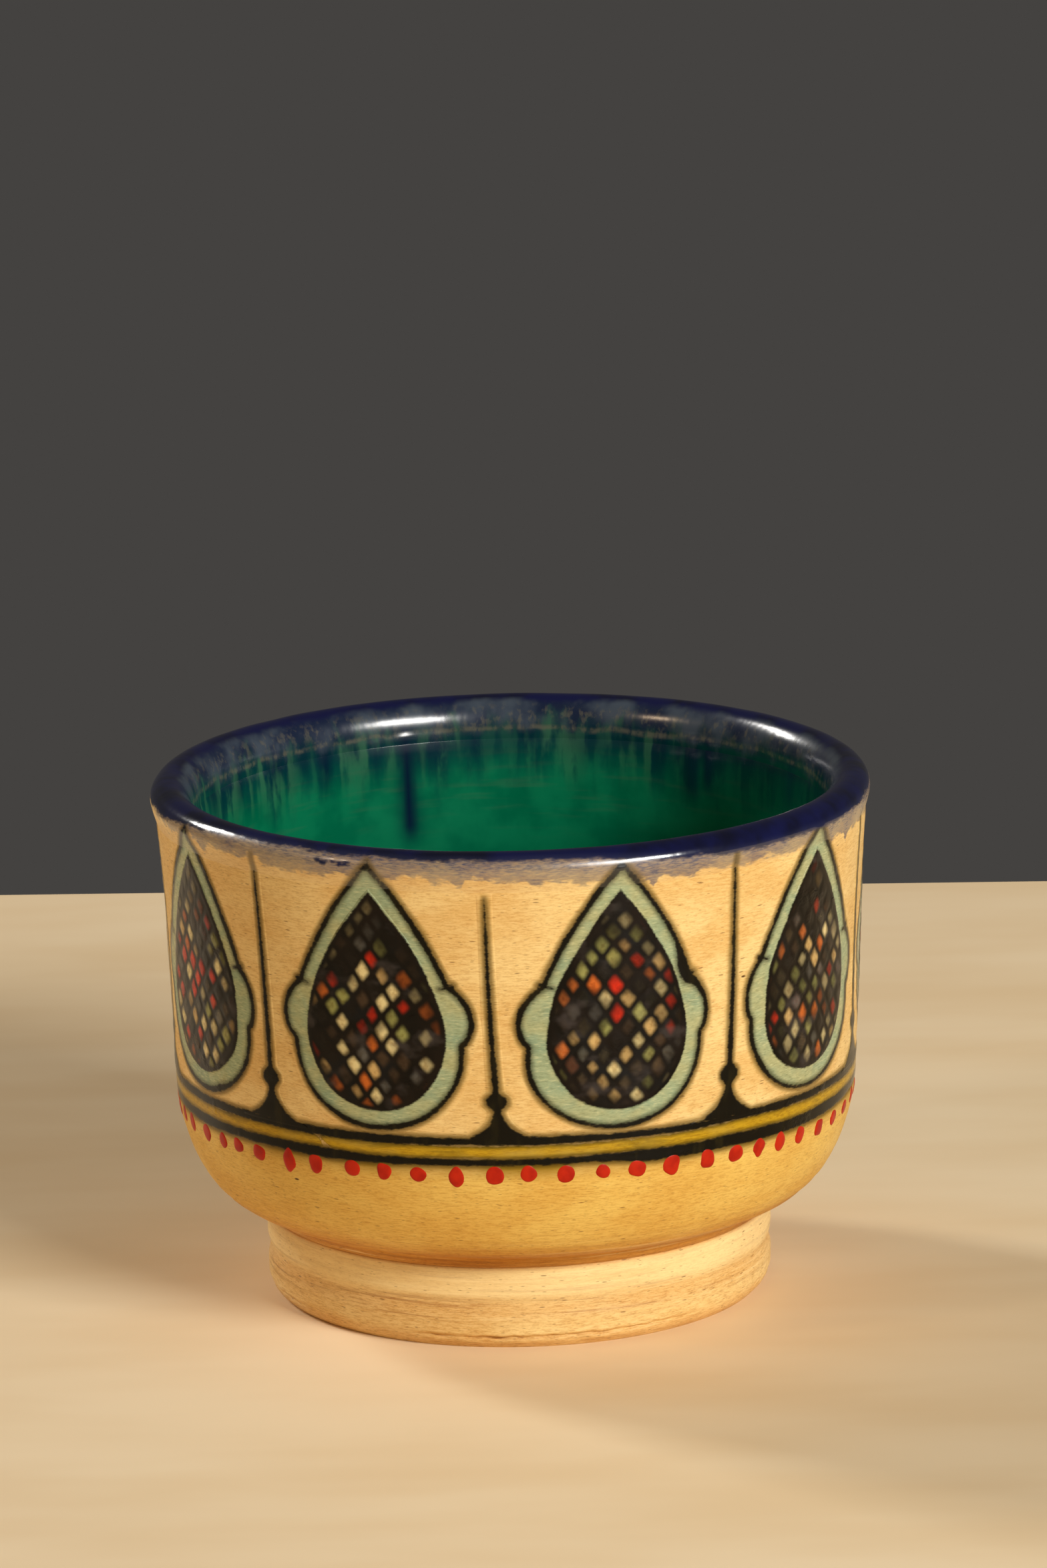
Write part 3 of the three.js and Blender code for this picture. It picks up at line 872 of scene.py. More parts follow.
def make_cobalt():
    """Rows from the thin skirt outside up over the lip's arc, down into the hollow and back through the
    clay. The arc is half a circle outside and a quarter ellipse inside, lumpy by a wandering line."""
    turn = full_turn(coat_columns)
    low = np.linspace(coat_low_outside, lip_height, 14)[:, None] + 0 * turn
    strokes_low = wall_values(turn, low)
    grow = coat_stack * ease(low, coat_low_outside, coat_full_outside)
    dip = edge_dip * (1 - ease(low, coat_low_outside, coat_low_outside + 0.8))
    skirt = on_wall(turn, low, relief(strokes_low) + grow - dip)
    arc_angle = np.radians(np.linspace(0, 180, 34))[1:-1]
    lump = coat_unevenness * wander(turn, 82, 0.6, 3, 40) * np.sin(arc_angle)[:, None]
    middle = body_radius - lip_radius
    inward = arc_angle[:, None] > np.pi / 2
    across = np.where(inward, bevel_width, coat_lip_radius)
    down = np.where(inward, bevel_height, coat_lip_radius)
    arc_z = cup_height - down + (down + lump) * np.sin(arc_angle)[:, None]
    bulge = throwing(turn, low[-1:]) * (1 + np.cos(arc_angle)[:, None]) / 2
    arc = round_cup(turn, middle + (across + lump) * np.cos(arc_angle)[:, None] + bulge, arc_z)
    smooth_z = cup_height - down * (1 - np.sin(arc_angle)[:, None])
    arc_crest = np.where(inward, -1, 1) * crest_distance(smooth_z) + 0 * turn
    inside_z = np.linspace(bevel_foot, coat_low_inside, 6)
    line = np.stack([hollow_side(inside_z), inside_z], -1)
    crest_in = (quarter_turn + lip_height - inside_z)[:, None] + 0 * turn
    sunk = lap_depth * ease(crest_in, quarter_turn + lip_height - liner_top, crest_in[-1, 0])
    inner = coat_face(turn, line, crest_in, coat_stack - sunk)
    back_line = np.concatenate([line[::-1] + [coat_bite, 0],
                                lip_arc(-coat_bite, 180, 0, 9)[1:-1],
                                np.stack([wall_radius(low[::-1, 0]) - coat_bite, low[::-1, 0]], -1)])
    back = round_cup(turn, back_line[:, 0, None], back_line[:, 1, None])
    outer_z = np.concatenate([low, np.where(arc_angle[:, None] < np.pi / 2, arc_z, cup_height)])
    strokes = paint(turn, np.clip(outer_z, None, cup_height - 0.05))
    crest = np.concatenate([crest_distance(low), arc_crest, crest_in])
    navy, wash = cobalt_edges(turn, crest)
    values = {**strokes, "crest": crest, "navy": navy, "wash": wash, "run": run_strength(turn, crest)}
    grid = np.concatenate([skirt, arc, inner, back])
    values = {key: np.pad(field, [(0, len(grid) - len(field)), (0, 0)], "edge")
              for key, field in values.items()}
    share = shares(np.r_[np.ones(len(crest)), np.full(len(back), back_room)])
    return skin("cobalt_lip", grid, values, strips=10, row_share=share)


def make_liner():
    """Rows from the middle of the back out to the edge, and down the glaze's face to the middle of the
    floor. Both ends are poles."""
    turn = full_turn(coat_columns)
    line = hollow_outline()
    line = evenly_spaced(line[line[:, 1] <= liner_top], 118)
    below_top = np.r_[0, np.cumsum(np.linalg.norm(np.diff(line, axis=0), axis=1))]
    crest = (quarter_turn + lip_height - liner_top + below_top)[:, None] + 0 * turn
    edge = liner_edge_dip * (1 - ease(crest, crest[0, 0], crest[0, 0] + 1.6))
    face = coat_face(turn, line, crest, coat_stack + liner_float - edge)
    face[-1] = face[-1].mean(0)
    back_line = evenly_spaced(line[::-1], 24) + [coat_bite, 0]
    back_line[:, 1] -= coat_bite * (1 - ease(back_line[:, 1], floor_height, floor_height + 12))
    back_line[0, 0] = 0
    back = round_cup(turn, back_line[:, 0, None], back_line[:, 1, None])
    grid = np.concatenate([back, face])
    values = {"crest": crest, "run": run_strength(turn, crest)}
    values = {key: np.pad(field, [(len(back), 0), (0, 0)], "edge") for key, field in values.items()}
    share = shares(np.r_[np.full(len(back), back_room), np.ones(len(face) - 1)])
    return skin("green_liner", grid, values, strips=4, row_share=share, poles=True)


cobalt_lip = finish_piece(make_cobalt(), "cobalt_glaze", "rim_glaze")
green_liner = finish_piece(make_liner(), "green_glaze", "liner_glaze")

# %% [markdown]
# The three banded rings are patches of the wall's own surface, raised by the relief. Each reaches a
# little past its band, and its border dips gently under the wall, where both have the same colour, so no
# edge shows. The back of a patch lies inside the clay, which makes it a closed solid.

# %% Make the bands
patch_float, patch_bite = 0.022, 0.3
band_columns = 900


def afloat(off_border, soft=0.55):
    """The lift of a patch over the wall's relief: it floats a hair above it, and within soft of its
    border it dips as far below."""
    return patch_float * (2 * ease(off_border, 0, soft) - 1)


def make_band(name, low, high, across):
    """A ring of the wall from one height to another, with across rows in front and two behind."""
    turn = full_turn(band_columns)
    z = np.linspace(low, high, across)[:, None] + 0 * turn
    strokes = wall_values(turn, z)
    border = np.minimum(z - low, high - z)
    front = on_wall(turn, z, relief(strokes) + afloat(border, 0.3))
    back = on_wall(turn, z[[-1, 0]], -patch_bite)
    values = {key: np.concatenate([field, field[[-1, 0]]]) for key, field in strokes.items()}
    share = np.r_[np.linspace(0, 0.9, across), 0.94, 0.97, 1]
    return skin(name, np.concatenate([front, back]), values, strips=8, row_share=share)


band_lap = 0.25
lower_edge = lower_line_top + band_lap
upper_edge = upper_line_middle - upper_line_width / 2 - band_lap
lower_line = finish_piece(make_band("lower_dark_line", 24.6, lower_edge, 18), "black_line", "lower_line")
yellow_band = finish_piece(make_band("yellow_ring", lower_edge - 0.5, upper_edge + 0.5, 11),
                           "yellow_enamel", "yellow_band")
upper_line = finish_piece(make_band("upper_dark_line", upper_edge, 31.4, 13), "black_line", "upper_line")

# %% [markdown]
# Drops and spires are patches of the wall too, but of their own shapes: a grid of places on the flat
# sheet, whose front follows the wall's relief and whose back lies in the clay. Their maps are simply the
# flat sheet, the front beside the back.

# %% A patch of painted enamel
def sheet_map(x, z, front):
    """Map places of a patch's points: the flat sheet on the left for the front, and at half size on the
    right for the back."""
    u, v = (x - x.min()) / np.ptp(x), (z - z.min()) / np.ptp(z)
    return np.stack([np.where(front, 0.01 + 0.62 * u, 0.67 + 0.32 * u),
                     np.where(front, 0.01 + 0.98 * v, 0.01 + 0.5 * v)], -1)


def patch(name, x, z, turn_middle, front, float_by, poles):
    """A closed patch from a grid of places on the flat sheet, whose columns run round. front says which
    points lie on the painted side, and float_by how far those float over the wall's relief."""
    turn = turn_middle + x / mean_wall_radius
    strokes = wall_values(turn, z)
    grid = on_wall(turn, z, np.where(front, relief(strokes) + float_by, -patch_bite))
    index = np.arange(x.size).reshape(x.shape)
    if poles:
        grid[0], grid[-1] = grid[0].mean(0), grid[-1].mean(0)
        index[0], index[-1] = index[0, 0], index[-1, 0]
    bands = len(x) - 1 if poles else len(x)
    places = corners(sheet_map(x, z, front), bands)
    return closed_mesh(name, grid.reshape(-1, 3), corners(index, bands), places, strokes)


print("a patch floats", patch_float, "mm over the wall and reaches", patch_bite, "mm into it")

# %% [markdown]
# A drop's border is a ring of rows between two pears, one hidden under the field and one outside the
# black line. The field is a cap of rows from its middle outwards. Both follow the drop's outline, so the
# grid is finest where the strokes are. The field floats higher than the border, which it laps over.

# %% Make the drops
drop_columns, border_rows, field_rows = 400, 26, 30
halo_margin = 1.25
field_middle = np.array([0.0, 43.0])
border_float, spire_float, field_float = 0.036, 0.05, 0.064


def leaning(line, number):
    """A pear line that leans as its drop does."""
    lean = traits[number]["lean"] * ease(line[:, 1], drop_foot + 12, drop_tip)
    return line + np.stack([lean, 0 * lean], -1)


def drop_patch(name, number, inner, outer, rows, back_shares, floating, poles):
    """A patch whose rows go from a line or point inside to a line outside, and back behind them."""
    share = np.r_[np.linspace(0, 1, rows), back_shares][:, None, None]
    places = inner + (outer - inner) * share
    float_by = floating(np.linalg.norm(places - outer, axis=-1))
    front = np.broadcast_to((np.arange(len(share)) < rows)[:, None], places.shape[:2])
    return patch(f"{name}_{number + 1}", places[..., 0], places[..., 1], first_drop + number * pitch, front,
                 float_by, poles)


def make_drop_border(number):
    """From a pear hidden under the field to one outside the black line and its halo, with the lobes'
    bulge as a flat-topped bell curve of the height."""
    turn = full_turn(drop_columns)
    inner = pear(turn, field_half_width - 1.3, field_foot + 1.4, field_tip - 3.5)
    outer = pear(turn, drop_half_width + halo_margin, drop_foot - halo_margin, drop_tip + 0.5)
    bulge = (lobe_depth + 0.15) * bell(outer[:, 1] - lobe_height, lobe_half_height + 1, 4)
    outer[:, 0] += np.where(turn < np.pi, 1, -1) * bulge
    return drop_patch("celadon_border", number, leaning(inner, number), leaning(outer, number), border_rows,
                      [1, 0], lambda off: afloat(off) * border_float / patch_float, poles=False)


def make_drop_field(number):
    """From a point in the middle to a pear a little larger than the field."""
    turn = full_turn(drop_columns * 3 // 4)
    outer = leaning(pear(turn, field_half_width + 0.4, field_foot - 0.4, field_tip + 0.7), number)
    return drop_patch("lattice_field", number, field_middle, outer, field_rows, [0.97, 0],
                      lambda off: field_float * ease(off, 0, 0.6), poles=True)


for number in range(ornament_count):
    finish_piece(make_drop_border(number), "celadon_enamel", f"drop_{number + 1}_border")
    finish_piece(make_drop_field(number), "lattice_enamel", f"drop_{number + 1}_field")

# %% [markdown]
# A spire is a long narrow grid: rows up its height, closest together round the bead, and columns across
# its width plus the margin that its halo needs.

# %% Make the spires
spire_columns, spire_margin = 34, 0.95
spire_under, spire_over, fine_share = 0.55, 0.8, 0.22


def make_spire(number):
    """Rows up the spire, each as wide as the stroke there and a margin, bent along its middle line."""
    low, tip = spire_foot - spire_under, spire_tips[number] + spire_over
    height = spire_tips[number] - spire_foot
    above_bead = spire_foot + fine_share * height
    z = np.r_[np.linspace(low, above_bead, 70), np.linspace(above_bead, tip, 90)[1:]]
    share = np.clip((z - spire_foot) / height, 0, 1)
    half = np.maximum(spire_half(share), 0.25) + spire_margin
    across = np.linspace(-1, 1, spire_columns)
    across = np.r_[across, across[::-1] * 0.98]
    x = spire_middle(number, z)[:, None] + half[:, None] * across
    z = z[:, None] + 0 * across
    front = np.broadcast_to(np.arange(len(across)) < spire_columns, x.shape)
    border = np.minimum.reduce([half[:, None] * (1 - np.abs(across)), z - low, tip - z])
    float_by = (afloat(border, 0.5) / patch_float) * spire_float
    return patch(f"painted_spire_{number + 1}", x, z, first_drop + (number - 0.5) * pitch, front,
                 float_by, poles=True)


for number in range(ornament_count):
    finish_piece(make_spire(number), "black_line", f"spire_{number + 1}")

# %% [markdown]
# Under the lower line sits a row of red dots, each a dab from a loaded brush. They are too many to be
# solids of their own in the frame, so they are made only here, all in one mesh: each dab is a small
# polar grid with a thick rounded middle, and its back lies inside the clay. The painter's hand drifted, so
# slow curves shift the dabs and their heights, a few are tall, and one is a small smudge.

# %% Make the red dots
dot_count, dot_rows, dot_columns = 60, 7, 26
first_dot = np.radians(-4.1)
dot_half_width, dot_half_height = 1.16, 1.18
dot_shift_places = [(-180, 0), (-78, -0.5), (-70, -1.6), (-64, -0.5), (-58, -0.5), (-52, -1.5), (-46, -1.9),
                    (-40, -1.6), (-34, -1.1), (-26, -0.2), (0, -0.1), (25, 0.1), (32, 0.6), (38, 0.6),
                    (44, 0), (50, -0.6), (58, -1.0), (70, -0.3), (180, 0)]
dot_height_places = [(-180, 25.3), (-130, 25.6), (-90, 24.9), (-65, 24.85), (-53, 25.1), (-42, 25.15),
                     (-28, 25.6), (-10, 25.4), (2, 25.6), (14, 25.5), (26, 25.25), (38, 25.05), (50, 24.85),
                     (62, 24.5), (90, 25.0), (140, 25.5), (180, 25.3)]
tall_dots = {0: 1.1, 1: 0.95, 4: 1.0, 5: 1.2, 7: 1.1, 59: 1.2, 58: 0.9, 57: 1.0, 56: 0.95, 55: 1.15, 54: 1.4,
             53: 0.95}
smudged_dot = 3
dot_thickness, dot_edge_dip = 0.12, 0.03


def make_dots():
    """Each dab's edge is an oval with a few small waves. Its thickness is full over the middle and
    falls off at the edge as a fourth power does."""
    random = np.random.default_rng(90)
    dot = np.arange(dot_count)[:, None, None]
    middle_turn = first_dot + 2 * np.pi * dot / dot_count + random.normal(0, 0.004, dot.shape)
    middle_turn = middle_turn + np.radians(round_the_cup(middle_turn, dot_shift_places))
    middle_z = round_the_cup(middle_turn, dot_height_places) + random.normal(0, 0.07, dot.shape)
    wide = dot_half_width * random.uniform(0.88, 1.12, dot.shape)
    tall = dot_half_height * random.uniform(0.85, 1.2, dot.shape)
    for number, height in tall_dots.items():
        tall[number] = dot_half_height * height
    wide[smudged_dot], tall[smudged_dot] = 0.9 * dot_half_width, 0.8 * dot_half_height
    angle = -full_turn(dot_columns)
    waves = [random.normal(0, 0.035, dot.shape) * np.sin(k * angle + random.uniform(0, 6, dot.shape))
             for k in (2, 3, 4)]
    share = np.r_[np.linspace(0, 1, dot_rows), 0.9, 0][:, None]
    reach = share * (1 + sum(waves))
    x = wide * reach * np.cos(angle)
    z = middle_z + tall * reach * np.sin(angle)
    turn = middle_turn + x / mean_wall_radius
    front = np.arange(len(share))[:, None] < dot_rows
    thickness = dot_thickness * (1 - share**4) - dot_edge_dip * share**8
    grid = on_wall(turn, z, np.where(front, relief(paint(turn, z)) + thickness, -patch_bite))
    grid[:, 0], grid[:, -1] = grid[:, 0].mean(1)[:, None], grid[:, -1].mean(1)[:, None]
    index = np.arange(x.size).reshape(x.shape)
    index[:, 0], index[:, -1] = index[:, 0, :1], index[:, -1, :1]
    side = int(np.ceil(np.sqrt(dot_count)))
    room = 0.46 * reach / 1.2 * np.where(front, 1, 0.6)
    across, up = dot % side + 0.5 + room * np.cos(angle), dot // side + 0.5 + room * np.sin(angle)
    places = np.stack([across, up], -1) / side
    quads, places = (corners(table, len(share) - 1, axis=1) for table in (index, places))
    return closed_mesh("red_dots", grid.reshape(-1, 3), quads, places,
                       {"inward": np.broadcast_to(1 - share, x.shape)})


red_dots = finish_piece(make_dots(), None)

# %% [markdown]
# A finish is a network of nodes, and writing one by hand takes many lines. Two small helpers make a finish
# read like a sum: one adds nodes and sets or links their sockets, and the other stands for what a node puts
# out, so that values can be added and multiplied. Colours are written as they look on a screen, from 0 to
# 255, and turned into the linear values that nodes use.

# %% Helpers for finishes
def color(red, green, blue):
    """A screen colour as linear red, green, blue and alpha."""
    share = np.array([red, green, blue]) / 255
    linear = np.where(share <= 0.04045, share / 12.92, ((share + 0.055) / 1.055) ** 2.4)
    return (*linear.tolist(), 1.0)


class Value:
    """What a node puts out. A sum, difference, product, quotient or power of values is a math node."""

    def __init__(self, tree, socket):
        self.tree, self.socket = tree, socket

    def __add__(self, other):
        return self.tree.math("ADD", self, other)

    def __sub__(self, other):
        return self.tree.math("SUBTRACT", self, other)

    def __mul__(self, other):
        return self.tree.math("MULTIPLY", self, other)

    def __truediv__(self, other):
        return self.tree.math("DIVIDE", self, other)

    def __pow__(self, other):
        return self.tree.math("POWER", self, other)

    def __abs__(self):
        return self.tree.math("ABSOLUTE", self)


class Tree:
    """Adds nodes to a node tree, and links or sets what is passed to them."""

    def __init__(self, tree):
        self.tree = tree

    def set(self, socket, value):
        if isinstance(value, Value):
            self.tree.links.new(value.socket, socket)
        elif value is not None:
            socket.default_value = value

    def add(self, kind, inputs=(), output=0, **settings):
        node = self.tree.nodes.new(kind)
        for key, value in settings.items():
            setattr(node, key, value)
        for key, value in dict(inputs).items():
            self.set(node.inputs[key], value)
        return Value(self, node.outputs[output])

    def math(self, operation, a, b=None):
        return self.add("ShaderNodeMath", [(0, a), (1, b)], operation=operation)

    def mix(self, share, a, b, blend="MIX"):
        """Colour a where share is 0 and colour b where it is 1."""
        return self.add("ShaderNodeMix", [(0, share), (6, a), (7, b)], 2, data_type="RGBA", blend_type=blend)

    def blend(self, share, a, b):
        """Number a where share is 0 and number b where it is 1."""
        return self.add("ShaderNodeMix", [(0, share), (2, a), (3, b)], 0)

    def ease(self, value, start, end, low=0.0, high=1.0):
        """A smooth step from low at start to high at end."""
        inputs = [(0, value), (1, start), (2, end), (3, low), (4, high)]
        return self.add("ShaderNodeMapRange", inputs, interpolation_type="SMOOTHSTEP")

    def belt(self, value, low, full_low, full_high, high):
        """1 from full_low to full_high, and down to 0 at low and at high."""
        return self.ease(value, low, full_low) * self.ease(value, high, full_high)

    def attribute(self, name):
        return self.add("ShaderNodeAttribute", attribute_name=name, output=2)

    def place(self, x=1.0, y=1.0, z=1.0):
        """Object coordinates, stretched by a factor along each axis."""
        at = self.add("ShaderNodeTexCoord", output=3)
        return self.add("ShaderNodeVectorMath", [(0, at), (1, (x, y, z))], operation="MULTIPLY")

    def along(self, axis):
        """The object coordinate along axis 0, 1 or 2, in metres."""
        return self.add("ShaderNodeSeparateXYZ", [(0, self.place())], axis)

    def noise(self, z_stretch, scale, detail=2.0, roughness=0.5):
        """Noise about 0.5. A large z_stretch draws it out round the cup, a small one up the wall."""
        inputs = [("Vector", self.place(z=z_stretch)), ("Scale", scale), ("Detail", detail),
                  ("Roughness", roughness)]
        return self.add("ShaderNodeTexNoise", inputs)


def new_group(name, inputs, outputs):
    """An empty node group with named sockets. Returns its tree, its inputs by name, and a function that
    links its outputs."""
    group = bpy.data.node_groups.new(name, "ShaderNodeTree")
    for key, default in inputs.items():
        socket = group.interface.new_socket(key, in_out="INPUT", socket_type=FLOAT)
        socket.default_value = default
    for key, kind in outputs.items():
        group.interface.new_socket(key, in_out="OUTPUT", socket_type=kind)
    tree = Tree(group)
    source = group.nodes.new("NodeGroupInput")
    target = group.nodes.new("NodeGroupOutput")

    def finish(values):
        for key, value in values.items():
            tree.set(target.inputs[key], value)
        print(f"{name}: {len(group.nodes)} nodes")

    return tree, {key: Value(tree, source.outputs[key]) for key in inputs}, finish


def use_group(tree, name, inputs=()):
    """Places a node group in a tree and returns its outputs by name."""
    node = tree.tree.nodes.new("ShaderNodeGroup")
    node.node_tree = bpy.data.node_groups[name]
    for key, value in dict(inputs).items():
        tree.set(node.inputs[key], value)
    return {socket.name: Value(tree, socket) for socket in node.outputs}


FLOAT, COLOR = "NodeSocketFloat", "NodeSocketColor"
print("a middle grey of the screen is", round(color(128, 128, 128)[0], 3), "for a node")

# %% [markdown]
# A painted stroke soaks into the clay, so its edge is never sharp. This group turns a signed distance
# into a mask whose border is shaken by noise and is as soft as asked.

# %% A ragged edge
tree, given, finish = new_group("Ragged edge", {"Distance": 0.0, "Softness": 0.1, "Shake": 0.1,
                                                "Grain": 1500.0}, {"Mask": FLOAT})
shaken = (tree.noise(1.6, given["Grain"] * 0.3) - 0.5) + (tree.noise(3, given["Grain"]) - 0.5)
moved = shaken * given["Shake"] + given["Distance"]
finish({"Mask": tree.ease(moved, given["Softness"] * -1.0, given["Softness"], 1.0, 0.0)})


def ragged(tree, distance, softness, shake, grain=1500.0):
    """The mask of a stroke: 1 inside it, 0 outside, with a ragged edge."""
    return use_group(tree, "Ragged edge", {"Distance": distance, "Softness": softness, "Shake": shake,
                                           "Grain": grain})["Mask"]


# %% [markdown]
# The clay is a fine buff body under a thin satin glaze. It has a grain drawn out sideways by the wheel,
# slow blotches where the glaze is thicker, small dark specks of iron and a few open pits. Light and dark
# turning lines near the waist are partly turning marks and partly painted highlight and shade on small
# ridges. The shoulder is a richer yellow. The waist is a deeper orange, partly glaze pooled there and
# partly painted shade under the shoulder. The foot's middle ring and its seam are darkened to the same
# orange, also partly pooled glaze and partly painted shade in the grooves. The top of the foot is paler,
# a painted highlight where light falls on it. Each of these belts is given by four heights in metres,
# between which it fades in and out.

# %% The buff clay
CLAY_LIGHT, CLAY_MIDDLE, CLAY_DEEP = color(243, 212, 146), color(235, 196, 124), color(218, 168, 94)
CLAY_GOLDEN, DEEP_ORANGE_POOL_AND_SHADE, FOOT_TOP_PAINTED_LIGHT = color(249, 241, 190), color(214, 158, 78), color(255, 230, 168)
GRAIN_LIGHT, GRAIN_DARK, TURNING_MARK_AND_SHADE = color(255, 226, 164), color(178, 122, 58), color(150, 92, 40)
CLAY_SPECK, CLAY_PIT = color(112, 70, 32), color(92, 58, 30)
golden_belt, waist_shade_belt = (0.0095, 0.012, 0.0245, 0.0275), (0.0097, 0.0106, 0.0126, 0.0158)
turned_belt, groove_shade_belt = (0.0028, 0.004, 0.013, 0.0165), (0.0032, 0.005, 0.0052, 0.0072)
lit_foot_belt = (0.0055, 0.0074, 0.0101, 0.0108)
seam_top, seam_full = 0.0021, 0.0012

tree, given, finish = new_group("Buff clay", {"Grain": 1.0, "Waist Shade": 1.0},
                                {"Color": COLOR, "Roughness": FLOAT, "Height": FLOAT})
height = tree.along(2)
blotches = tree.noise(2.2, 75.0, 3.0, 0.55)
clay = tree.mix(0.55, tree.mix(tree.ease(blotches, 0.36, 0.66), CLAY_DEEP, CLAY_LIGHT), CLAY_MIDDLE)
grain = tree.noise(5, 2800.0) * 0.5 + tree.noise(8, 820.0, 3.0, 0.6)
lighter = tree.ease(grain, 0.5, 1.0, -0.5, 0.5) * given["Grain"] * 0.5
clay = tree.mix(tree.math("MAXIMUM", lighter, 0.0), clay, GRAIN_LIGHT)
clay = tree.mix(tree.math("MAXIMUM", lighter * -1.7, 0.0), clay, GRAIN_DARK)
clay = tree.mix(tree.belt(height, *golden_belt), clay, CLAY_GOLDEN, "MULTIPLY")
# Painted shade, partly: the waist belt darkens the clay to a deeper orange under the shoulder, where shade
# falls and glaze pooled.
clay = tree.mix(tree.belt(height, *waist_shade_belt) * given["Waist Shade"] * 0.7, clay, DEEP_ORANGE_POOL_AND_SHADE, "MULTIPLY")
# Turning lines near the waist: light and dark lines, partly turning marks and partly painted highlight and
# shade on small ridges.
turned, near_waist = tree.noise(40, 42.0, 3.0, 0.7), tree.belt(height, *turned_belt)
clay = tree.mix(near_waist * tree.ease(turned, 0.52, 0.68, 0.0, 0.5), clay, TURNING_MARK_AND_SHADE)
clay = tree.mix(near_waist * tree.ease(turned, 0.46, 0.32, 0.0, 0.45), clay, GRAIN_LIGHT)
# Painted shade, partly: the foot's middle ring and its seam are darkened to the waist's orange, where shade
# falls in the grooves and glaze pooled.
ring = tree.belt(height, *groove_shade_belt) * tree.ease(blotches, 0.3, 0.6, 0.5, 1.0)
ring = tree.math("MAXIMUM", ring, tree.ease(height, seam_top, seam_full))
clay = tree.mix(ring * 0.2, clay, DEEP_ORANGE_POOL_AND_SHADE, "MULTIPLY")
# Painted highlight: the top of the foot is made paler, where the light falls on it.
clay = tree.mix(tree.belt(height, *lit_foot_belt) * 0.5, clay, FOOT_TOP_PAINTED_LIGHT)


def specks(tree, scale, flat, size, share):
    """A mask of small flecks, drawn out sideways by flat: the middles of a Voronoi pattern's cells, kept
    where the cell's random value is below share."""
    inputs = [("Vector", tree.place(z=flat)), ("Scale", scale)]
    distance, cell = (tree.add("ShaderNodeTexVoronoi", inputs, output) for output in (0, 1))
    kept = tree.math("LESS_THAN", tree.add("ShaderNodeSeparateColor", [(0, cell)]), share)
    return tree.ease(distance, size, size * 0.45) * kept


small_specks = specks(tree, 760.0, 5.6, 0.24, 0.3) * 0.5
iron_specks = specks(tree, 400.0, 6.0, 0.2, 0.16)
pits = specks(tree, 110.0, 2.6, 0.055, 0.12)
clay = tree.mix(iron_specks * 0.7, tree.mix(small_specks, clay, CLAY_SPECK), CLAY_SPECK)
clay = tree.mix(pits, clay, CLAY_PIT)
bumps = grain * 0.35 + (pits + iron_specks + small_specks) * -0.5
finish({"Color": clay, "Roughness": tree.ease(blotches, 0.3, 0.7, 0.5, 0.38), "Height": bumps})

# %% [markdown]
# The lattice field is dark enamel with coloured pools. A cell's whole-number place feeds a random number,
# which picks its colour from a ramp of the painter's few enamels. Pools near the field's edge and tip are
# duller, as if the brush was running dry, and a little smoke of the dark enamel lies over some of them.

# %% The lattice field
FIELD_DARK, FIELD_WARM, FIELD_COOL = color(10, 7, 4), color(22, 14, 8), color(18, 20, 22)
FIELD_SMOKE, POOL_MOTTLE = color(78, 70, 66), color(176, 150, 116)
POOL_COLORS = [(0.0, (24, 18, 12)), (0.13, (66, 50, 34)), (0.26, (226, 206, 146)), (0.43, (202, 166, 104)),
               (0.56, (206, 44, 18)), (0.66, (196, 100, 36)), (0.77, (146, 144, 80)), (0.91, (92, 88, 80))]

tree, given, finish = new_group("Lattice pools", {"Cell U": 0.0, "Cell V": 0.0, "Drop": 0.0, "Field": 0.0},
                                {"Color": COLOR, "Pool": FLOAT})
shake = (tree.noise(1, 420.0) - 0.5) * 0.3
moved = [shake + given[key] for key in ("Cell U", "Cell V")]
places = [tree.math("FLOOR", value) for value in moved]
offset_u, offset_v = (abs(tree.math("FRACT", value) - 0.5) ** 4.0 for value in moved)
offset = (offset_u + offset_v) ** 0.25
cell = tree.add("ShaderNodeCombineXYZ", [(0, places[0]), (1, places[1]), (2, given["Drop"])])
far_cell = tree.add("ShaderNodeVectorMath", [(0, cell), (1, (17.0, 5.0, 3.0))], operation="ADD")
chance, second = (tree.add("ShaderNodeTexWhiteNoise", [(0, at)], noise_dimensions="3D")
                  for at in (cell, far_cell))
ramp = tree.tree.nodes.new("ShaderNodeValToRGB")
ramp.color_ramp.interpolation = "CONSTANT"
for number, (start, shade) in enumerate(POOL_COLORS):
    stop = ramp.color_ramp.elements[0] if number == 0 else ramp.color_ramp.elements.new(start)
    stop.position, stop.color = start, color(*shade)
ramp.color_ramp.elements.remove(ramp.color_ramp.elements[-1])
tree.set(ramp.inputs[0], chance)
size = tree.ease(second, 0.0, 1.0, 0.42, 0.51)
pool = tree.ease(offset, size - 0.34, size, 1.0, 0.0)
smoky = tree.ease(tree.noise(1, 130.0), 0.38, 0.5, 0.35, 1.0)
duller = tree.ease(given["Field"], -2.3, -0.8, 1.0, 0.42) * smoky
inside = tree.ease(given["Field"], -0.95, -0.35, 1.0, 0.0) * duller
inside = inside * tree.ease(given["Cell U"] + given["Cell V"], -5.2, -2.6, 0.25, 1.0)
strength = (pool * inside) * tree.ease(second, 0.0, 0.6, 0.55, 1.0)
dark = tree.mix(tree.ease(tree.noise(1, 260.0, 3.0), 0.35, 0.65), FIELD_DARK, FIELD_WARM)
dark = tree.mix(tree.ease(tree.noise(1, 170.0), 0.55, 0.75, 0.0, 0.7), dark, FIELD_COOL)
mottle = tree.ease(tree.noise(1, 1300.0), 0.42, 0.72, 0.0, 0.5)
mottled = tree.mix(mottle, Value(tree, ramp.outputs[0]), POOL_MOTTLE, "MULTIPLY")
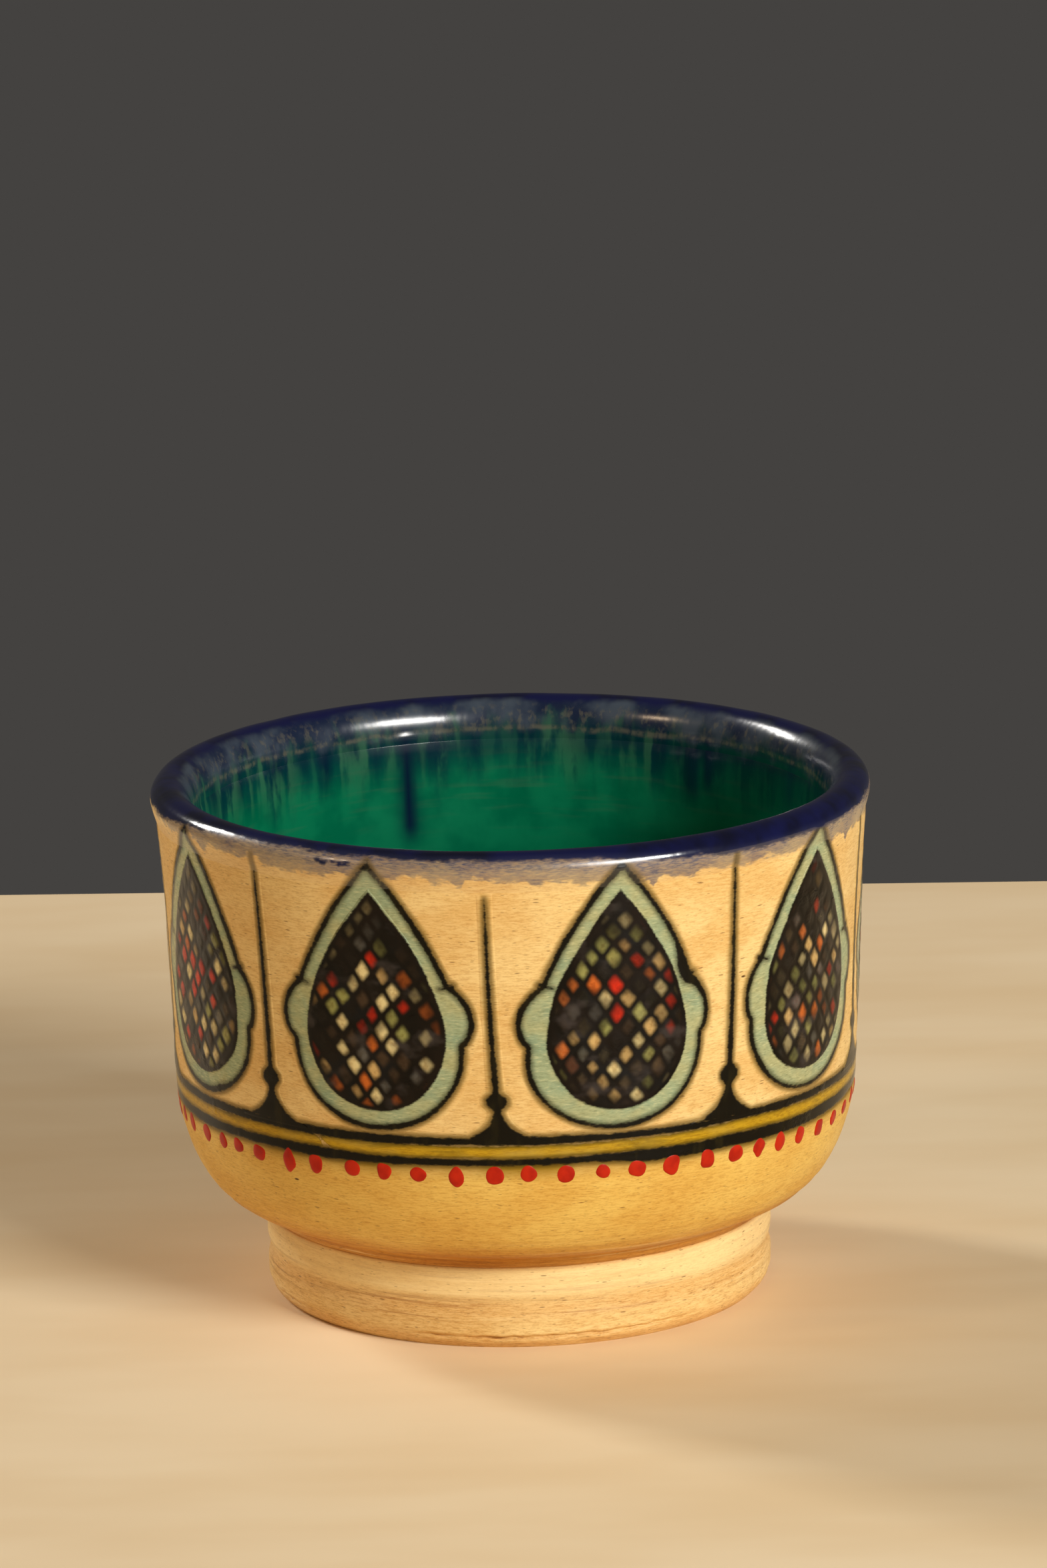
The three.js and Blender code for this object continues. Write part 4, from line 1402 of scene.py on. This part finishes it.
smoke = tree.ease(tree.noise(1.4, 210.0, 3.0), 0.54, 0.72, 0.0, 0.42)
finish({"Color": tree.mix(smoke, tree.mix(strength, dark, mottled), FIELD_SMOKE), "Pool": strength})

# %% [markdown]
# The painted wall is all of these together, laid over each other in the order of the real work: clay, the
# grey wash of the lip, the olive halo that iron black bleeds into the glaze, the celadon, the yellow, the
# black itself and the lattice. Every outer piece carries the distances as attributes, so they all show
# the same painting, and where one piece ends and the next begins there is nothing to see.

# %% The painted wall: its colours, the wash and the halo
CELADON, CELADON_WARM, CELADON_COOL = color(156, 168, 130), color(172, 170, 122), color(126, 152, 126)
CELADON_LIGHT, CELADON_DARK, CELADON_EDGE = color(206, 202, 152), color(116, 122, 82), color(112, 122, 76)
INK, INK_THIN = color(13, 10, 4), color(40, 34, 12)
INK_HALO, LOWER_HALO = color(134, 104, 22), color(150, 116, 16)
YELLOW, YELLOW_THIN, YELLOW_DEEP = color(192, 152, 28), color(180, 150, 62), color(158, 118, 16)
YELLOW_EDGE, YELLOW_BRUSHED = color(98, 80, 14), color(120, 98, 20)
WASH_GREY, WASH_MAUVE, WASH_BLUE = color(132, 120, 108), color(96, 92, 104), color(54, 62, 94)
halo_belt = (0.0242, 0.0268, 0.0275, 0.0282)

tree, given, finish = new_group("Painted wall", {"Clay Grain": 1.0, "Waist Shade": 1.0},
                                {"Color": COLOR, "Roughness": FLOAT, "Height": FLOAT})
body = use_group(tree, "Buff clay", {"Grain": given["Clay Grain"], "Waist Shade": given["Waist Shade"]})
ink, green, field, yellow, wash = (tree.attribute(key) for key in ("ink", "green", "field", "yellow", "wash"))
grain = tree.noise(5.5, 1100.0, 3.0, 0.6)
cloud = tree.noise(1.5, 160.0, 3.0, 0.55)
streaky = tree.noise(0.25, 620.0)

washed = ragged(tree, wash * -1.0, 0.32, 2.0, 800.0)
wash_color = tree.mix(tree.ease(cloud, 0.4, 0.62), WASH_GREY, WASH_MAUVE)
bluer = tree.ease(wash, 0.9, 2.8) * tree.ease(streaky, 0.35, 0.6, 0.45, 1.0)
wash_color = tree.mix(bluer * 0.7, wash_color, WASH_BLUE)
gathered = tree.ease(wash, 1.1, 0.3) * tree.ease(cloud, 0.5, 0.62)
wash_color = tree.mix(gathered * 0.8, wash_color, WASH_BLUE)
thin_wash = washed * (tree.ease(wash, -0.2, 2.0, 0.82, 1.0) * tree.ease(grain, 0.3, 0.7, 1.0, 0.66))
wall = tree.mix(thin_wash, body["Color"], wash_color)

under_line = tree.belt(tree.along(2), *halo_belt) * tree.ease(tree.noise(0.3, 110.0), 0.4, 0.6, 0.5, 1.0)
wall = tree.mix(under_line, wall, LOWER_HALO)
halo_reach = tree.ease(cloud, 0.3, 0.7, 0.55, 1.05)
wall = tree.mix(tree.ease(ink / halo_reach, 0.0, 1.0, 1.0, 0.0) * 0.6, wall, INK_HALO)

# %% [markdown]
# The strokes come next. Each one's mask is its distance made ragged, and its colour varies as hand-mixed
# enamel does: thicker and thinner, warmer and cooler, and darker where it gathered along its edge. Strokes
# are glassy, the clay between them is satin, and small clusters of wrinkles catch the light.

# %% The painted wall: celadon, yellow, black and lattice
green_mask = ragged(tree, green, 0.1, 0.25)
celadon = tree.mix(tree.ease(cloud, 0.38, 0.66), CELADON, CELADON_WARM)
celadon = tree.mix(tree.ease(tree.noise(1.3, 240.0), 0.5, 0.75, 0.0, 0.6), celadon, CELADON_COOL)
celadon = tree.mix(tree.ease(grain, 0.5, 0.72, 0.0, 0.6), celadon, CELADON_LIGHT)
celadon = tree.mix(tree.ease(grain, 0.5, 0.28, 0.0, 0.55), celadon, CELADON_DARK)
celadon = tree.mix(tree.ease(green, -0.75, -0.05) * 0.5, celadon, CELADON_EDGE)
wall = tree.mix(green_mask, wall, celadon)

yellow_mask = ragged(tree, yellow, 0.12, 0.4)
thin = tree.ease(tree.noise(2.5, 95.0, 3.0), 0.5, 0.7, 0.0, 0.75)
enamel = tree.mix(thin, tree.mix(tree.ease(grain, 0.35, 0.75), YELLOW, YELLOW_DEEP), YELLOW_THIN)
yellow_edge = tree.ease(yellow, -0.5, 0.0) * tree.ease(cloud, 0.35, 0.6, 0.35, 1.0)
enamel = tree.mix(yellow_edge * 0.6, enamel, YELLOW_EDGE)
enamel = tree.mix(tree.ease(tree.noise(5, 170.0, 3.0), 0.55, 0.7, 0.0, 0.5), enamel, YELLOW_BRUSHED)
wall = tree.mix(yellow_mask, wall, enamel)

ink_mask = ragged(tree, ink, 0.26, 0.36)
ink_color = tree.mix(tree.ease(streaky, 0.5, 0.8, 0.0, 0.7), INK, INK_THIN)
worn = tree.ease(ink, -0.25, 0.05) * tree.ease(grain, 0.4, 0.75)
ink_color = tree.mix(worn * 0.5, ink_color, INK_THIN)
wall = tree.mix(tree.math("MAXIMUM", ink_mask, tree.ease(ink, 0.62, -0.1, 0.0, 0.55)), wall, ink_color)

field_mask = ragged(tree, field, 0.16, 0.3)
cells = {"Cell U": tree.attribute("cell_u"), "Cell V": tree.attribute("cell_v")}
lattice = use_group(tree, "Lattice pools", {**cells, "Drop": tree.attribute("drop"), "Field": field})
wall = tree.mix(field_mask, wall, lattice["Color"])

glassy = tree.math("MAXIMUM", tree.math("MAXIMUM", green_mask, ink_mask),
                   tree.math("MAXIMUM", field_mask, yellow_mask))
gloss = tree.blend(glassy, body["Roughness"], tree.ease(cloud, 0.3, 0.7, 0.24, 0.14))
height = tree.blend(glassy * 0.9, body["Height"], cloud * 0.6)
wrinkles = tree.ease(tree.noise(1, 210.0), 0.55, 0.66) * glassy * tree.noise(1.8, 1500.0, 2.0, 0.6)
finish({"Color": wall, "Roughness": tree.blend(thin_wash, gloss, 0.26), "Height": wrinkles * 1.5 + height})

# %% [markdown]
# The cobalt and the green are one family of glaze that ran together, so one group gives both: navy over
# the lip, a grey-blue band with tan flecks just inside, a pale ring under it, teal and olive streaks where
# the cobalt ran, and clear emerald below, darker towards the floor. On the right the glaze is made darker
# and tealer, a painted shade where the near rim shades the hollow. Its guides are the distance over the
# crest, the strength of the runs and the place across the cup.

# %% The glazes of the lip and the hollow
EMERALD, EMERALD_DEEP, EMERALD_LIGHT = color(0, 100, 68), color(0, 82, 54), color(10, 116, 78)
TEAL, RUN_BLUE, OLIVE, GREEN_IN_PAINTED_SHADE = color(2, 38, 54), color(4, 24, 48), color(64, 106, 78), color(0, 44, 34)
BAND_GREY, BAND_BLUE, BAND_TAN = color(66, 76, 88), color(20, 32, 58), color(108, 102, 84)
NAVY, NAVY_DEEP, NAVY_THIN = color(14, 18, 62), color(9, 11, 34), color(48, 52, 78)
pale_ring_crest = 5.3

tree, given, finish = new_group("Running glaze", {"Crest": 0.0, "Run": 0.0},
                                {"Color": COLOR, "Height": FLOAT})
crest = given["Crest"]
streaks = tree.noise(0.03, 700.0, 1.5)
broad = tree.noise(0.05, 260.0)
cloud = tree.noise(1, 190.0, 3.0)
patches = tree.noise(0.45, 520.0, 3.0, 0.6) - 0.5
speckle = tree.noise(0.6, 1100.0, 3.0, 0.6)
# Painted shade: the right side of the hollow, which the near rim shades, is turned darker and tealer.
painted_shade_right = tree.ease(tree.along(0), 0.012, 0.034)
ragged_crest = (broad - 0.5) * 6.0 + (patches * 5.0 + crest)

glaze = tree.mix(tree.ease(cloud, 0.35, 0.65), EMERALD, EMERALD_LIGHT)
glaze = tree.mix(tree.ease(crest, 9.0, 34.0, 0.0, 0.75), glaze, EMERALD_DEEP)
faint_rings = tree.ease(tree.noise(9, 110.0), 0.5, 0.72) * tree.ease(crest, 22.0, 10.0)
glaze = tree.mix(faint_rings * 0.3, glaze, OLIVE)
both = patches * 0.5 + streaks
columns = tree.mix(tree.ease(both, 0.4, 0.62), TEAL, OLIVE)
columns = tree.mix(tree.ease(tree.noise(0.1, 75.0, 1.0), 0.52, 0.4, 0.0, 0.75), columns, TEAL)
columns = tree.mix(painted_shade_right * 0.8, columns, TEAL)
dark_columns = tree.ease(broad, 0.54, 0.42, 0.35, 1.0) * tree.ease(both, 0.62, 0.46)
zone = tree.ease(ragged_crest, 14.5, 5.5)
glaze = tree.mix(tree.ease(crest, 11.5, 6.0) * 0.65, glaze, TEAL)
glaze = tree.mix(zone * 0.62, glaze, columns)
glaze = tree.mix((zone * dark_columns) * 0.8, glaze, TEAL)
glaze = tree.mix(painted_shade_right * 0.55, glaze, GREEN_IN_PAINTED_SHADE)
glaze = tree.mix(given["Run"] * tree.ease(streaks, 0.25, 0.55, 0.8, 1.0), glaze, RUN_BLUE)

band = tree.mix(tree.ease(cloud, 0.36, 0.66), BAND_BLUE, BAND_GREY)
flecks = tree.ease(speckle, 0.5, 0.66) * tree.ease(crest, 1.4, 3.6)
band = tree.mix(flecks * 0.45, band, BAND_TAN)
glaze = tree.mix(tree.ease(ragged_crest, 3.0, 6.6), band, glaze)
ring_off = abs((cloud - 0.5) * 1.6 + crest - pale_ring_crest)
pale_ring = tree.ease(ring_off, 0.6, 0.1) * tree.ease(speckle, 0.38, 0.6, 0.15, 1.0)
glaze = tree.mix(pale_ring * 0.5, glaze, BAND_TAN)
navy = tree.mix(tree.ease(cloud, 0.4, 0.7), NAVY, NAVY_DEEP)
glaze = tree.mix(tree.ease((cloud - 0.5) * 2.0 + crest, 0.9, 2.2), navy, glaze)
finish({"Color": glaze, "Height": streaks * 0.4 + cloud * 0.6})

# %% [markdown]
# Each material ends in its own Principled shader. The bowl, its bands, drops and spires share the painted
# wall, whose gloss comes from its own mask, and the foot shows the bare clay with a stronger grain. The
# clay reads as satin, the glazes as wet glass, so the clay and the enamels reflect much less than the lip.

# %% Materials
thin_glaze_shine, liner_shine, cobalt_shine = 0.15, 0.5, 0.85


def new_material(name):
    """An empty material's tree, and a function that closes it. Its height bends the normal: strength goes
    from 0 to 1, and relief is in metres."""
    material = bpy.data.materials.new(name)
    material.use_nodes = True
    tree, shader = Tree(material.node_tree), material.node_tree.nodes["Principled BSDF"]

    def close(base, roughness, shine, height=None, strength=0.0, relief=0.0):
        for key, value in (("Base Color", base), ("Roughness", roughness), ("Specular IOR Level", shine)):
            tree.set(shader.inputs[key], value)
        if height:
            bump = [("Height", height), ("Strength", strength), ("Distance", relief)]
            tree.set(shader.inputs["Normal"], tree.add("ShaderNodeBump", bump))
        return material

    return tree, close


def running_glaze(tree):
    """The glaze group, fed with the attributes of the two coats."""
    return use_group(tree, "Running glaze", {"Crest": tree.attribute("crest"), "Run": tree.attribute("run")})


def painted_material(name):
    tree, close = new_material(name)
    wall = use_group(tree, "Painted wall", {"Clay Grain": 1.0, "Waist Shade": 1.0})
    return close(wall["Color"], wall["Roughness"], thin_glaze_shine, wall["Height"], 0.5, 0.00012)


def clay_material(name):
    tree, close = new_material(name)
    clay = use_group(tree, "Buff clay", {"Grain": 1.15, "Waist Shade": 0.85})
    return close(clay["Color"], clay["Roughness"], thin_glaze_shine, clay["Height"], 0.6, 0.00015)


def liner_material(name):
    tree, close = new_material(name)
    glaze = running_glaze(tree)
    roughness = tree.ease(tree.attribute("crest"), 4.0, 9.0, 0.22, 0.17)
    return close(glaze["Color"], roughness, liner_shine, glaze["Height"], 0.35, 0.0002)


def cobalt_material(name):
    """Outside the navy's edge the painted wall shows through, inside it the running glaze."""
    tree, close = new_material(name)
    wall, glaze = use_group(tree, "Painted wall", {"Clay Grain": 1.0, "Waist Shade": 1.0}), running_glaze(tree)
    navy = ragged(tree, tree.attribute("navy") * -1.0, 0.3, 0.9, 900.0)
    rim = tree.mix(tree.ease(tree.attribute("navy"), 1.2, 0.0, 0.0, 0.45), glaze["Color"], NAVY_THIN)
    soft_inside = tree.ease(tree.attribute("crest"), 0.6, 1.8, 0.14, 0.22)
    return close(tree.mix(navy, wall["Color"], rim), tree.blend(navy, wall["Roughness"], soft_inside),
                 cobalt_shine, glaze["Height"], 0.4, 0.0002)


RED, RED_DEEP, RED_THIN = color(190, 38, 12), color(164, 26, 8), color(150, 60, 20)


def red_material(name):
    """A dab's edge is thinner, so the clay warms it."""
    tree, close = new_material(name)
    cloud = tree.noise(1, 520.0, 3.0)
    red = tree.mix(tree.ease(cloud, 0.35, 0.7), RED, RED_DEEP)
    edge = tree.ease(tree.attribute("inward"), 0.16, 0.0, 0.0, 0.55)
    return close(tree.mix(edge, red, RED_THIN), 0.34, thin_glaze_shine, cloud, 0.3, 0.0001)


def dress(piece, material):
    """The piece's only material."""
    piece.data.materials.clear()
    piece.data.materials.append(material)


ink_finish = painted_material("black_line")
finishes = {"thrown": painted_material("buff_clay_wall"), "turned": clay_material("buff_clay_foot"),
            "cobalt": cobalt_material("cobalt_glaze"), "green": liner_material("green_glaze"),
            "red": red_material("red_enamel"), "yellow": painted_material("yellow_enamel"),
            "lower": ink_finish, "upper": ink_finish, "painted": ink_finish,
            "celadon": painted_material("celadon_enamel"), "lattice": painted_material("lattice_enamel")}
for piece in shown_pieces():
    dress(piece, finishes[piece.name.split("_")[0]])

# %% [markdown]
# The camera stands almost a metre away with a long lens, a little above the lip, and is rolled by about a
# degree, as a hand-held camera is. It is built from its pitch, its turn and its roll.

# %% The camera
camera_place = (0.0, -0.97459, 0.29731)
pitch_down, turn_right, roll = np.radians([13.46, 0.10, -1.20])
camera_data = bpy.data.cameras.new("camera")
camera_data.sensor_width = 36.0
camera_data.lens = 183.9
camera = bpy.data.objects.new("camera", camera_data)
camera.matrix_world = (Matrix.Translation(camera_place) @ Matrix.Rotation(-turn_right, 4, "Z")
                       @ Matrix.Rotation(np.pi / 2 - pitch_down, 4, "X") @ Matrix.Rotation(roll, 4, "Z"))
bpy.context.scene.collection.objects.link(camera)
bpy.context.scene.camera = camera

# %% [markdown]
# The cup stands on a plain pale table top that ends a little behind it, in an edge that is not quite
# square to the camera. The room beyond is a quiet grey to the camera and in gloss and glass, while matt
# surfaces get a soft, warm, even light from it.

# %% The table and the room
table_width, table_front, table_back, table_slant = 1.3, -1.4, 0.2, 0.043
table_corners = [(-table_width, table_front, 0), (table_width, table_front, 0),
                 (table_width, table_back - table_slant, 0), (-table_width, table_back + table_slant, 0)]
table_mesh = bpy.data.meshes.new("table_top")
table_mesh.from_pydata(table_corners, [], [(0, 1, 2, 3)])
table = bpy.data.objects.new("table_top", table_mesh)
bpy.context.scene.collection.objects.link(table)
TABLE_LIGHT, TABLE_DARK = color(248, 226, 188), color(240, 214, 172)
tree, close = new_material("pale_table")
drawn_out = [("Vector", tree.place(y=3)), ("Scale", 14.0), ("Detail", 3.0)]
grain = tree.ease(tree.add("ShaderNodeTexNoise", drawn_out), 0.3, 0.7)
dress(table, close(tree.mix(grain, TABLE_LIGHT, TABLE_DARK), roughness=0.6, shine=0.5))

ROOM_SEEN, ROOM_LIGHT = color(68, 66, 64), (1.0, 0.76, 0.52, 1.0)
room_strength = 0.12
world = bpy.data.worlds.new("room")
world.use_nodes = True
bpy.context.scene.world = world
tree = Tree(world.node_tree)
background = world.node_tree.nodes["Background"]
camera_ray, glossy_ray, transmission_ray = (
    tree.add("ShaderNodeLightPath", output=ray)
    for ray in ("Is Camera Ray", "Is Glossy Ray", "Is Transmission Ray"))
seen = tree.math("MAXIMUM", tree.math("MAXIMUM", camera_ray, glossy_ray), transmission_ray)
tree.set(background.inputs["Color"], tree.mix(seen, ROOM_LIGHT, ROOM_SEEN))
tree.set(background.inputs["Strength"], tree.blend(seen, room_strength, 1.0))
print("room light:", room_strength)

# %% [markdown]
# Where a lamp stands was read off its highlights: a bright streak on a round lip lies where the surface
# faces halfway between the camera and the lamp. A wide soft window stands to the right front, a second
# one behind to the left, and a weak one to the left front.

# %% The lamps
def lamp(name, azimuth, elevation, distance, size, power, tint):
    """A soft rectangular lamp that looks at the cup. azimuth is measured from the camera's side, -Y,
    towards +X. size is its width and height in metres."""
    a, e = np.radians([azimuth, elevation])
    back = np.array([np.sin(a) * np.cos(e), -np.cos(a) * np.cos(e), np.sin(e)])
    data = bpy.data.lights.new(name, "AREA")
    data.shape, data.size, data.size_y = "RECTANGLE", *size
    data.energy, data.color = power, tint
    side = np.array([np.cos(a), np.sin(a), 0.0])
    up = np.cross(back, side)
    matrix = np.eye(4)
    matrix[:3, :3] = np.stack([side, up, back], 1)
    matrix[:3, 3] = back * distance + [0, 0, cup_height / 2 * MM]
    lamp_object = bpy.data.objects.new(name, data)
    lamp_object.matrix_world = Matrix(matrix.tolist())
    bpy.context.scene.collection.objects.link(lamp_object)
    print(f"{name}: {power} W at {distance} m")


lamp("right_window", 40, 26, 1.6, (0.68, 0.32), 24.3, (1.0, 0.98, 0.94))
lamp("back_window", -127, 31, 1.6, (0.24, 0.4), 11.0, (1.0, 0.97, 0.92))
lamp("left_window", -61, 30, 1.7, (0.18, 0.18), 2.3, (1.0, 0.72, 0.46))

# %% [markdown]
# Standard view keeps colours as they are written.

# %% Finish
scene = bpy.context.scene
scene.view_settings.view_transform = "Standard"
